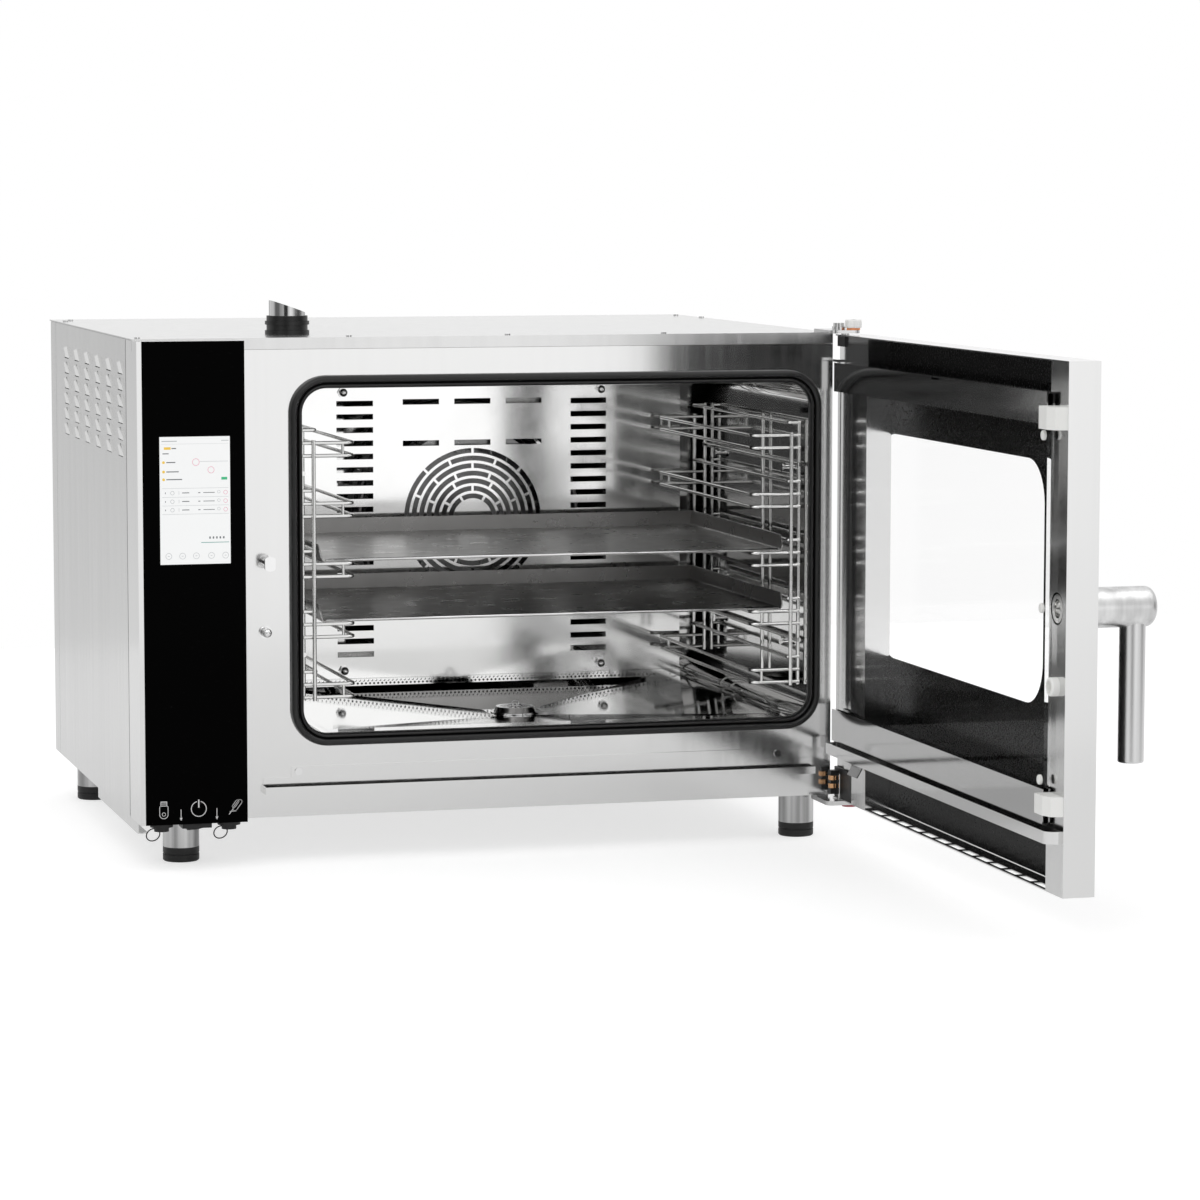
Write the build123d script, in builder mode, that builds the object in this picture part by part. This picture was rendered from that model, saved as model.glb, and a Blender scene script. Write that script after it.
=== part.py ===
# Counter-top combi oven with its door standing open at a right angle.
# Millimetres. +X is to the right, +Y goes to the back, +Z is up.
# The origin is on the floor, under the middle of the steel front face.
import math
import os

from build123d import *

os.makedirs("parts", exist_ok=True)

# Outer case
body_width = 890.0
body_depth = 679.0
body_height = 588.0
foot_height = 58.0
sheet = 1.5
seat_gap = 0.3
cover_lip = 14.0
cover_overhang = 10.0
flange = 16.0
front_flange = 30.0

# Control column on the left of the front
column_width = 131.0
column_reach = 35.0
column_side_depth = 45.0
column_seam = 1.0
column_edge = 6.0
panel_glass = 4.0
screen_width = 85.5
screen_height = 153.8
screen_left_margin = 27.0
screen_low = 317.7
port_spacing = 41.5
port_radius = 8.0
cap_radius = 14.0
cap_flange = 3.5
cap_knob = 9.0
cap_height = 9.0
pull_radius = 8.5
pull_wire = 0.75
pull_tilt = 48.0

# Oven cavity
cavity_width = 650.0
cavity_height = 423.3
cavity_center_x = 88.0
cavity_low = 102.4
cavity_depth = 545.0
cavity_corner = 30.0
cavity_wall = 1.5
gasket_width = 16.0
gasket_height = 11.4
insulation_wall = 28.0
insulation_floor = 58.0
insulation_top = 560.0
insulation_back = 575.0

# Floor dish and drain
dish_margin = 36.0
dish_front = 30.0
dish_back = 500.0
dish_drop = 18.4
drain_x = 100.0
drain_y = 268.0
drain_flat = 36.0
drain_radius = 24.0
drain_pipe_radius = 16.0
drain_pipe_axis = 22.0
drain_pipe_end = 26.0

# Fan, heating and baffle
fan_height = 324.7
fan_radius = 120.0
fan_front = 461.0
fan_width = 60.0
blade_count = 24
shaft_radius = 8.0
running_gap = 0.05
heater_radius = 150.0
heater_tube = 4.25
heater_count = 3
heater_pitch = 15.0
heater_first = 475.0
baffle_y = 450.0
baffle_width = 582.0
baffle_low = 109.0
baffle_high = 512.0
baffle_sheet = 1.2
nut_spacing_x = 356.0
nut_spacing_z = 372.8
slot_width = 49.9
slot_height = 7.4
slot_pitch = 17.7
slot_rows = 20
slot_column_offset = 161.5
grille_pitch = 10.2
grille_outer = 91.4
grille_rings = 7
grille_slot = 6.6
grille_bridge = 3.3

# Racks and trays
level_count = 5
level_pitch = 74.5
top_level = 458.0
pair_gap = 15.75
guard_rise = 16.0
rack_wire = 2.25
rack_post = 2.5
rack_rail = 2.8
rail_over = 5.0
rack_front = 18.0
rack_back = 432.0
rack_middle = 170.0
post_inset = 17.3
wall_post_inset = 5.0
runner_inset = 68.0
runner_bend = 9.0
guard_inset = 20.0
guard_bend = 3.5
weld_overlap = 0.8
weld_pass = 0.5
tray_width = 600.0
tray_depth = 400.0
tray_height = 20.0
tray_sheet = 1.2
tray_flare = 3.0
tray_bend = 4.0
tray_lip = 1.5
tray_cheek = 7.0
tray_slant = 13.0
tray_lift = 0.2
tray_front = 18.0
tray_levels = (2, 3)

# Door, in its own directions: u runs from the hinge to the free edge, v outward
pivot_outset = 7.5
pivot_y = -25.5
door_gap = 20.0
door_clear = 5.0
door_thick = 37.5
door_low = -2.0
door_top_drop = 2.2
door_hinge_edge = 5.0
free_stile = 51.0
hinge_stile_u = 78.0
hinge_stile = 52.0
outer_glass = 4.7
glass_back = 32.5
inner_glass_margin = 26.0
inner_glass = 6.0
inner_glass_proud = 7.0
holder_wall = 1.3
glass_hinge_u = 30.0
glass_hinge_v = -4.0
glass_pin = 2.0
drip_tray_low = 57.0
drip_tray_height = 14.0
drip_tray_reach = 17.0
drip_tray_corner = 12.0
holder_low_height = 40.0
holder_high_height = 36.0
bumper_radius = 5.5
bumper_height = 3.5
bumper_u = 736.5
bumper_heights = (123.0, 313.0, 503.0)
striker_radius = 10.5
striker_proud = 9.0
striker_floor = 3.0
vent_slot_count = 13
vent_slot_pitch = 45.7
vent_slot_length = 34.0
keeper_x = -282.5
keeper_height = 314.5
keeper_reach = 28.0
switch_height = 228.8
switch_x = -283.8
handle_hub = 22.5
handle_hub_reach = 74.5
handle_grip = 14.5
handle_grip_out = 51.5
handle_grip_low = 142.0
pivot_pin = 5.0

# Services at the back and on top
vent_x = -232.0
vent_y = 112.0
vent_radius = 22.5
vent_height = 42.0
tube_wall = 1.5
inlet_x = -390.0
inlet_height = 120.0
inlet_radius = 13.2
gland_x = -330.0
gland_height = 70.0
gland_radius = 16.0
cord_hole = 8.0
cooler_x = -355.0
cooler_height = 390.0
cooler_size = 119.0

# Feet: left or right, front or back
foot_radius = 22.5
foot_sleeve = 40.0
foot_stem = 6.0
foot_places = {
    "front_left": (-380.0, 60.0),
    "front_right": (416.0, 50.0),
    "back_left": (-405.0, 600.0),
    "back_right": (416.0, 600.0),
}

# Worked out from the values above
base = foot_height
half_width = body_width / 2
column_left = -half_width
column_right = -half_width + column_width
column_center = (column_left + column_right) / 2
cavity_left = cavity_center_x - cavity_width / 2
cavity_right = cavity_center_x + cavity_width / 2
cavity_top = cavity_low + cavity_height
cavity_center_z = cavity_low + cavity_height / 2
outer_corner = cavity_corner + cavity_wall
pivot_x = half_width + pivot_outset
door_x = pivot_x + pivot_y + door_gap
swing_span = pivot_x - pivot_y
door_end = swing_span - (column_right + door_clear)
door_top = body_height - door_top_drop
latch_u = swing_span - keeper_x
switch_u = swing_span - switch_x
pin_u = -pivot_y
pin_v = pivot_x - door_x
baffle_center_z = (baffle_low + baffle_high) / 2
nut_places = [
    (cavity_center_x + sx * nut_spacing_x / 2, baffle_center_z - 0.5 + sz * nut_spacing_z / 2)
    for sx in (-1, 1)
    for sz in (-1, 1)
]
screen_x = column_left + screen_left_margin + screen_width / 2
screen_z = screen_low + screen_height / 2
port_y = -(column_reach - panel_glass) / 2 - 1.5
rocker_x = column_center + 4.0
port_places = {"usb": rocker_x - port_spacing, "probe": rocker_x + port_spacing}


def level(z):
    """a horizontal plane at a height above the underside of the case"""
    return Plane.XY.offset(base + z)


def facing(y):
    """a plane across the oven, seen from the front, at a depth"""
    return Plane(origin=(0, y, base), x_dir=(1, 0, 0), z_dir=(0, -1, 0))


def beside(x):
    """a plane along the oven, seen from the right, at a distance from the middle"""
    return Plane(origin=(x, 0, base), x_dir=(0, 1, 0), z_dir=(1, 0, 0))


def door_face(v):
    """a plane parallel to the open door, at a distance outward from its inner face"""
    return Plane(origin=(door_x + v, 0, base), x_dir=(0, -1, 0), z_dir=(-1, 0, 0))


def block(x, y, z, mode=Mode.ADD):
    """a box between low and high limits, its heights above the underside of the case"""
    with Locations(((x[0] + x[1]) / 2, (y[0] + y[1]) / 2, base + (z[0] + z[1]) / 2)):
        Box(x[1] - x[0], y[1] - y[0], z[1] - z[0], mode=mode)


def door_block(u, v, z, mode=Mode.ADD):
    """a box between limits along the door, outward from its inner face, and in height"""
    block((door_x + v[0], door_x + v[1]), (-u[1], -u[0]), z, mode=mode)


def upright(x, y, z, radius, mode=Mode.ADD):
    """a vertical cylinder between two heights"""
    with Locations((x, y, base + (z[0] + z[1]) / 2)):
        Cylinder(radius, z[1] - z[0], mode=mode)


def along_y(x, y, z, radius, mode=Mode.ADD):
    """a cylinder running front to back between two depths"""
    with Locations(Location((x, (y[0] + y[1]) / 2, base + z), (90, 0, 0))):
        Cylinder(radius, y[1] - y[0], mode=mode)


def along_x(x, y, z, radius, mode=Mode.ADD):
    """a cylinder running left to right between two distances"""
    with Locations(Location(((x[0] + x[1]) / 2, y, base + z), (0, 90, 0))):
        Cylinder(radius, x[1] - x[0], mode=mode)


# Base pan: floor of the case, the partition beside the cavity, and the rail under the left side
pan_x = half_width - sheet - seat_gap
partition_x = cavity_left - cavity_wall - insulation_wall - seat_gap
with BuildPart() as base_pan:
    block((-pan_x, pan_x), (sheet + seat_gap, body_depth - sheet - seat_gap), (0, sheet))
    block((partition_x - sheet, partition_x), (40, 590), (0, insulation_top))
    block((-pan_x, -pan_x + 20), (sheet + seat_gap, 314), (-sheet, 0))
    block((-pan_x, -pan_x + sheet), (sheet + seat_gap, 314), (-14, 0))
    block((-pan_x, -pan_x + 12), (sheet + seat_gap, 314), (-14, -14 + sheet))
base_pan.part.label = "base_pan"
export_step(base_pan.part, "parts/base_pan.step")

# Left side panel with its field of pressed three-cornered louvres, open below
louvre_columns = 6
louvre_rows = 6
louvre_pitch_y = 89.0
louvre_pitch_z = 20.2
louvre_first_y = 90.0
louvre_top = 558.0
louvre_length = 45.0
louvre_rise = 15.0
louvre_throw = 4.0
side_top = body_height - sheet - seat_gap
left_front = column_side_depth + column_seam
with BuildPart() as left_side_panel:
    block((-half_width, -half_width + sheet), (left_front, body_depth), (0, side_top))
    block((-half_width, -half_width + flange), (left_front, left_front + sheet), (sheet + seat_gap, side_top))
    block((-half_width, -half_width + flange), (left_front, body_depth - 20), (side_top - sheet, side_top))
    crease_y = (body_depth - 46, body_depth - 45)
    block((-half_width - 0.1, -half_width + 0.5), crease_y, (0, side_top), Mode.SUBTRACT)
    for row in range(louvre_rows):
        for column in range(louvre_columns):
            louvre_y = louvre_first_y + column * louvre_pitch_y
            louvre_z = louvre_top - louvre_rise / 2 - row * louvre_pitch_z
            with BuildSketch(beside(-half_width)):
                with BuildLine():
                    hood_low = (louvre_y - louvre_length / 2, louvre_z - louvre_rise / 2)
                    hood_high = (louvre_y + louvre_length / 2, louvre_z - louvre_rise / 2)
                    Polyline(hood_low, (louvre_y, louvre_z + louvre_rise / 2), hood_high, close=True)
                make_face()
            extrude(amount=-louvre_throw, taper=20)
            with BuildSketch(beside(-half_width + sheet)):
                with BuildLine():
                    mouth_low = (louvre_y - louvre_length / 2 + 4, louvre_z - louvre_rise / 2 - 1)
                    mouth_high = (louvre_y + louvre_length / 2 - 4, louvre_z - louvre_rise / 2 - 1)
                    Polyline(mouth_low, (louvre_y, louvre_z + louvre_rise / 2 - 5), mouth_high, close=True)
                make_face()
            extrude(amount=-louvre_throw - 0.3, mode=Mode.SUBTRACT)
left_side_panel.part.label = "left_side_panel"
export_step(left_side_panel.part, "parts/left_side_panel.step")

# Right side panel, plain
right_front = front_flange + seat_gap
with BuildPart() as right_side_panel:
    block((half_width - sheet, half_width), (right_front, body_depth), (0, side_top))
    block((half_width - flange, half_width), (right_front, body_depth - 20), (side_top - sheet, side_top))
right_side_panel.part.label = "right_side_panel"
export_step(right_side_panel.part, "parts/right_side_panel.step")

# Screws: places shared by the sheets and by the screws themselves
screw_head = 3.6
screw_shank = 1.9
screw_hole = 2.1
screw_edge = 8.0
top_screws = [
    (-half_width + screw_edge, screw_edge),
    (-176.0, screw_edge),
    (24.0, screw_edge),
    (225.0, screw_edge),
    (-half_width + screw_edge, 597.0),
    (half_width - screw_edge, 542.0),
    (-half_width + 20, body_depth - 47),
    (half_width - 18, body_depth - 47),
]
back_screws = [
    (sx * (half_width - 12), height)
    for sx in (-1, 1)
    for height in (40, body_height / 2, body_height - 40)
]

# Top cover with its front lip
vent_hole = vent_radius + 1.5
with BuildPart() as top_cover:
    cover_z = (body_height - sheet, body_height)
    block((-half_width, half_width), (0, body_depth + cover_overhang), cover_z)
    block((-half_width, half_width), (0, sheet), (body_height - cover_lip, body_height))
    upright(vent_x, vent_y, (cover_z[0] - 1, cover_z[1] + 1), vent_hole, Mode.SUBTRACT)
    for x, y in top_screws:
        upright(x, y, (cover_z[0] - 1, cover_z[1] + 1), screw_hole, Mode.SUBTRACT)
top_cover.part.label = "top_cover"
export_step(top_cover.part, "parts/top_cover.step")

# Rear panel: holes for the drain, the water inlet, the cable gland and the cooling fan
rear_y = body_depth - sheet
with BuildPart() as rear_panel:
    block((-pan_x, pan_x), (rear_y, body_depth), (seat_gap, side_top))
    along_y(drain_x, (rear_y - 1, body_depth + 1), drain_pipe_axis, drain_pipe_radius + 0.5, Mode.SUBTRACT)
    along_y(inlet_x, (rear_y - 1, body_depth + 1), inlet_height, inlet_radius + 0.4, Mode.SUBTRACT)
    along_y(gland_x, (rear_y - 1, body_depth + 1), gland_height, gland_radius - 3.7, Mode.SUBTRACT)
    for x, z in back_screws:
        along_y(x, (rear_y - 1, body_depth + 1), z, screw_hole, Mode.SUBTRACT)
    with BuildSketch(facing(rear_y)):
        with Locations((cooler_x, cooler_height)):
            with GridLocations(12, 12, 8, 8):
                Circle(4)
        with Locations((cavity_center_x, fan_height + 60)):
            with GridLocations(60, 16, 5, 8):
                SlotOverall(48, 6)
        with Locations((cavity_center_x, fan_height - 120)):
            with GridLocations(60, 16, 5, 6):
                SlotOverall(48, 6)
    extrude(amount=-sheet, mode=Mode.SUBTRACT)
rear_panel.part.label = "rear_panel"
export_step(rear_panel.part, "parts/rear_panel.step")

# Front frame around the cavity mouth
front_top = body_height - cover_lip - seat_gap
front_left = column_right + seat_gap
mouth_width = cavity_width + 2 * (cavity_wall + seat_gap)
mouth_height = cavity_height + 2 * (cavity_wall + seat_gap)
mouth_corner = outer_corner + seat_gap
switch_tube = 6.0
with BuildPart() as front_frame:
    block((front_left, half_width), (0, sheet), (0, front_top))
    block((half_width - sheet, half_width), (0, front_flange), (0, front_top))
    block((front_left, front_left + sheet), (0, front_flange), (sheet + seat_gap, front_top))
    with BuildSketch(facing(0)):
        with Locations((cavity_center_x, cavity_center_z)):
            RectangleRounded(mouth_width, mouth_height, mouth_corner)
    extrude(amount=-sheet, mode=Mode.SUBTRACT)
    along_y(switch_x, (-1, sheet + 1), switch_height, switch_tube + seat_gap, Mode.SUBTRACT)
front_frame.part.label = "front_frame"
export_step(front_frame.part, "parts/front_frame.step")

# Cavity muffle: rounded tube, back wall, dished floor with its sump, pillars and rack studs
dish_left = cavity_left + dish_margin
dish_right = cavity_right - dish_margin
dish_x = (dish_left + dish_right) / 2
dish_y = (dish_front + dish_back) / 2
drain_level = cavity_low - dish_drop
cavity_end = cavity_depth + cavity_wall
pillar_radius = 8.0
pillar_end = baffle_y + baffle_sheet + seat_gap
stud_radius = 3.9
stud_end = baffle_y - 7
hook_radius = 4.0
rail_high = top_level - level_pitch / 2
rail_low = top_level - (level_count - 1.5) * level_pitch
hook_places = (80.0, 370.0)
hook_length = 9.5
sump_low = drain_level - 26
vent_slot_x = cavity_left + cavity_corner + 9
heater_angles = [180 + 20 * (number - 1) for number in range(heater_count)]
heater_half_gap = 6.0
with BuildPart() as oven_cavity:
    with BuildSketch(facing(0)):
        with Locations((cavity_center_x, cavity_center_z)):
            RectangleRounded(cavity_width + 2 * cavity_wall, cavity_height + 2 * cavity_wall, outer_corner)
    extrude(amount=-cavity_end)
    with BuildSketch(facing(0)):
        with Locations((cavity_center_x, cavity_center_z)):
            RectangleRounded(cavity_width, cavity_height, cavity_corner)
    extrude(amount=-cavity_depth, mode=Mode.SUBTRACT)
    with BuildSketch(level(cavity_low - 0.2)):
        with Locations((dish_x, dish_y)):
            Rectangle(dish_right - dish_left + 4, dish_back - dish_front + 4)
    with BuildSketch(level(drain_level - cavity_wall)):
        with Locations((drain_x, drain_y)):
            Rectangle(2 * drain_flat + 2, 2 * drain_flat + 2)
    loft(ruled=True)
    with BuildSketch(level(cavity_low)):
        with Locations((dish_x, dish_y)):
            Rectangle(dish_right - dish_left, dish_back - dish_front)
    with BuildSketch(level(drain_level)):
        with Locations((drain_x, drain_y)):
            Rectangle(2 * drain_flat, 2 * drain_flat)
    loft(ruled=True, mode=Mode.SUBTRACT)
    upright(drain_x, drain_y, (sump_low - 14, drain_level - 0.5), drain_pipe_radius + seat_gap + 1.7)
    upright(drain_x, drain_y, (sump_low, drain_level - 0.5), drain_radius + cavity_wall)
    upright(drain_x, drain_y, (sump_low + cavity_wall, drain_level + 1), drain_radius, Mode.SUBTRACT)
    upright(drain_x, drain_y, (sump_low - 15, sump_low + 2), drain_pipe_radius + seat_gap, Mode.SUBTRACT)
    for x, z in nut_places:
        along_y(x, (pillar_end, cavity_depth + 0.5), z, pillar_radius)
        along_y(x, (stud_end, pillar_end + 1), z, stud_radius)
    along_y(cavity_center_x, (cavity_depth - 1, cavity_end + 1), fan_height, shaft_radius + 8, Mode.SUBTRACT)
    for angle in heater_angles:
        for side in (-1, 1):
            turn = math.radians(angle + side * heater_half_gap)
            leg_x = cavity_center_x + heater_radius * math.cos(turn)
            leg_z = fan_height + heater_radius * math.sin(turn)
            along_y(leg_x, (cavity_depth - 1, cavity_end + 1), leg_z, heater_tube + seat_gap, Mode.SUBTRACT)
    vent_slot = ((vent_slot_x - 6, vent_slot_x + 6), (vent_y - 20, vent_y + 20))
    block(*vent_slot, (cavity_top - 1, cavity_top + 3), Mode.SUBTRACT)
    along_y(5, (cavity_depth - 1, cavity_end + 1), 340, 4 + seat_gap, Mode.SUBTRACT)
    for y in hook_places:
        for height in (rail_high, rail_low):
            hook_z = height - rack_rail - seat_gap - hook_radius
            along_x((cavity_left - 0.5, cavity_left + hook_length), y, hook_z, hook_radius)
            along_x((cavity_left + hook_length - 1.5, cavity_left + hook_length), y, hook_z, hook_radius + 2)
            along_x((cavity_right - hook_length, cavity_right + 0.5), y, hook_z, hook_radius)
            along_x((cavity_right - hook_length, cavity_right - hook_length + 1.5), y, hook_z, hook_radius + 2)
oven_cavity.part.label = "oven_cavity"
export_step(oven_cavity.part, "parts/oven_cavity.step")

# Insulation blanket around the cavity
blanket_left = partition_x + seat_gap
blanket_right = half_width - sheet - seat_gap
duct_left = vent_x - 30
duct_right = vent_slot_x + 9
duct_front = vent_y - 32
duct_back = vent_y + 33
duct_low = cavity_top + cavity_wall + seat_gap
duct_high = duct_low + 20
service_hole = 165.0
with BuildPart() as insulation_blanket:
    block((blanket_left, blanket_right), (sheet + seat_gap, insulation_back), (insulation_floor, insulation_top))
    with BuildSketch(facing(0)):
        with Locations((cavity_center_x, cavity_center_z)):
            RectangleRounded(mouth_width, mouth_height, mouth_corner)
    extrude(amount=-cavity_end - seat_gap, mode=Mode.SUBTRACT)
    dish_zone = (drain_level - cavity_wall - 2, cavity_low + 1)
    block((dish_left - 4, dish_right + 4), (dish_front - 4, dish_back + 4), dish_zone, Mode.SUBTRACT)
    upright(drain_x, drain_y, (insulation_floor - 1, drain_level), drain_radius + cavity_wall + 1, Mode.SUBTRACT)
    along_y(cavity_center_x, (cavity_end, insulation_back + 1), fan_height, service_hole, Mode.SUBTRACT)
    duct_x = (duct_left - seat_gap, duct_right + seat_gap)
    duct_y = (duct_front - seat_gap, duct_back + seat_gap)
    block(duct_x, duct_y, (cavity_top - 30, insulation_top + 1), Mode.SUBTRACT)
    along_y(switch_x, (0, 40), switch_height, switch_tube + 1, Mode.SUBTRACT)
insulation_blanket.part.label = "insulation_blanket"
export_step(insulation_blanket.part, "parts/insulation_blanket.step")

# Fan baffle: air slots, round grille and four nut holes
baffle_left = cavity_center_x - baffle_width / 2
baffle_right = cavity_center_x + baffle_width / 2
baffle_edge = 12.0
with BuildPart() as fan_baffle:
    block((baffle_left, baffle_right), (baffle_y, baffle_y + baffle_edge), (baffle_low, baffle_high))
    inner_x = (baffle_left + baffle_sheet, baffle_right - baffle_sheet)
    inner_z = (baffle_low + baffle_sheet, baffle_high - baffle_sheet)
    block(inner_x, (baffle_y + baffle_sheet, baffle_y + baffle_edge + 1), inner_z, Mode.SUBTRACT)
    with BuildSketch(facing(baffle_y)):
        for side in (-1, 1):
            column_x = cavity_center_x + side * slot_column_offset
            column_z = baffle_center_z + 2.5
            with Locations((column_x, column_z)):
                with GridLocations(1, slot_pitch, 1, slot_rows):
                    Rectangle(slot_width, slot_height)
        with Locations((cavity_center_x, baffle_high - 29.5), (cavity_center_x, baffle_high - 85)):
            with GridLocations(71, 1, 3, 1):
                Rectangle(slot_width, slot_height)
        for x, z in nut_places:
            with Locations((x, z)):
                Circle(stud_radius + 0.4)
        with Locations((cavity_center_x, fan_height)):
            for ring in range(grille_rings):
                ring_radius = grille_outer - ring * grille_pitch
                bridges = 8 if ring_radius > 60 else 6
                Circle(ring_radius + grille_slot / 2)
                Circle(ring_radius - grille_slot / 2, mode=Mode.SUBTRACT)
                with PolarLocations(ring_radius, bridges, start_angle=(ring % 2) * 180 / bridges):
                    Rectangle(grille_slot + 2, grille_bridge, mode=Mode.SUBTRACT)
    extrude(amount=-baffle_sheet, mode=Mode.SUBTRACT)
fan_baffle.part.label = "fan_baffle"
export_step(fan_baffle.part, "parts/fan_baffle.step")

# Cap nuts that hold the baffle
nut_face = baffle_y - seat_gap / 3
nut_hex = 4.0
nut_dome = 5.5
nut_crown = nut_face - 6.0
with BuildPart() as baffle_cap_nuts:
    for x, z in nut_places:
        with BuildSketch(facing(nut_face)):
            with Locations((x, z)):
                RegularPolygon(7.0, 6)
        extrude(amount=nut_hex)
        along_y(x, (nut_crown, nut_face - nut_hex + 0.5), z, nut_dome)
        with Locations(Location((x, nut_crown, base + z))):
            Sphere(nut_dome)
        along_y(x, (stud_end - 1, nut_face + 1), z, stud_radius + running_gap, Mode.SUBTRACT)
baffle_cap_nuts.part.label = "baffle_cap_nuts"
export_step(baffle_cap_nuts.part, "parts/baffle_cap_nuts.step")

# Perforated spill strip under the baffle: its straight lower edge leaves the dished floor open
grille_front = baffle_y - 2.4
strip_low = cavity_low + seat_gap
strip_high = baffle_low + 3.5
strip_holes = ((strip_low + 3.0, 100), (strip_low + 7.0, 101))
with BuildPart() as floor_grille:
    block((baffle_left, baffle_right), (grille_front, grille_front + 1.2), (strip_low, strip_high))
    with BuildSketch(facing(grille_front)):
        for hole_z, hole_count in strip_holes:
            with Locations((cavity_center_x, hole_z)):
                with GridLocations(5.6, 1, hole_count, 1):
                    Circle(1.5)
    extrude(amount=-1.2, mode=Mode.SUBTRACT)
    for tab_x in (baffle_left + 20, baffle_right - 40):
        block((tab_x, tab_x + 20), (grille_front, baffle_y), (baffle_low + 0.5, baffle_low + 3))
floor_grille.part.label = "floor_grille"
export_step(floor_grille.part, "parts/floor_grille.step")

# Ring heaters behind the baffle, their legs passing through the back wall
with BuildPart() as heating_rings:
    for number, angle in enumerate(heater_angles):
        ring_y = heater_first + number * heater_pitch
        start = angle + heater_half_gap
        ring_plane = Plane(origin=(cavity_center_x, ring_y, base + fan_height), x_dir=(1, 0, 0), z_dir=(0, -1, 0))
        with BuildLine(ring_plane) as ring_line:
            CenterArc((0, 0), heater_radius, start, 360 - 2 * heater_half_gap)
        with BuildSketch(Plane(origin=ring_line.line @ 0, z_dir=ring_line.line % 0)):
            Circle(heater_tube)
        sweep(path=ring_line.line)
        for side in (-1, 1):
            turn = math.radians(angle + side * heater_half_gap)
            leg_x = cavity_center_x + heater_radius * math.cos(turn)
            leg_z = fan_height + heater_radius * math.sin(turn)
            along_y(leg_x, (ring_y, insulation_back), leg_z, heater_tube - 0.05)
            with Locations(Location((leg_x, ring_y, base + leg_z))):
                Sphere(heater_tube + 0.2)
heating_rings.part.label = "heating_rings"
export_step(heating_rings.part, "parts/heating_rings.step")

# Fan wheel: back plate, straight blades, front ring and hub
with BuildPart() as fan_wheel:
    fan_back = fan_front + fan_width
    along_y(cavity_center_x, (fan_back - 2, fan_back), fan_height, fan_radius)
    along_y(cavity_center_x, (fan_front + 20, fan_back), fan_height, 18)
    with BuildSketch(facing(fan_front)):
        with Locations((cavity_center_x, fan_height)):
            with PolarLocations(fan_radius - 17, blade_count):
                Rectangle(30, 1.5, rotation=24)
    extrude(amount=-fan_width + 1)
    with BuildSketch(facing(fan_front)):
        with Locations((cavity_center_x, fan_height)):
            Circle(fan_radius)
            Circle(fan_radius - 20, mode=Mode.SUBTRACT)
    extrude(amount=-1.5)
    along_y(cavity_center_x, (fan_front, fan_back + 1), fan_height, shaft_radius + running_gap, Mode.SUBTRACT)
fan_wheel.part.label = "fan_wheel"
export_step(fan_wheel.part, "parts/fan_wheel.step")

# Motor shaft with the lock nut that holds the fan wheel
with BuildPart() as motor_shaft:
    along_y(cavity_center_x, (fan_front + 6, 640), fan_height, shaft_radius)
    with BuildSketch(facing(fan_front + 19.7)):
        with Locations((cavity_center_x, fan_height)):
            RegularPolygon(13, 6)
    extrude(amount=9)
motor_shaft.part.label = "motor_shaft"
export_step(motor_shaft.part, "parts/motor_shaft.step")

# Fan motor on four spacers behind the cavity
motor_radius = 60.0
motor_flange = 75.0
with BuildPart() as fan_motor:
    motor_x = (cavity_center_x - motor_flange, cavity_center_x + motor_flange)
    motor_z = (fan_height - motor_flange, fan_height + motor_flange)
    block(motor_x, (insulation_back, insulation_back + 5), motor_z)
    along_y(cavity_center_x, (insulation_back + 4, 662), fan_height, motor_radius)
    for sx in (-1, 1):
        for sz in (-1, 1):
            spacer_x = cavity_center_x + sx * (motor_flange - 13)
            spacer_z = fan_height + sz * (motor_flange - 13)
            along_y(spacer_x, (cavity_end + seat_gap, insulation_back + 1), spacer_z, 6)
    block((cavity_center_x - 30, cavity_center_x + 30), (600, 640), (fan_height + 50, fan_height + 78))
    along_y(cavity_center_x, (insulation_back - 1, 641), fan_height, shaft_radius + running_gap, Mode.SUBTRACT)
fan_motor.part.label = "fan_motor"
export_step(fan_motor.part, "parts/fan_motor.step")

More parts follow.
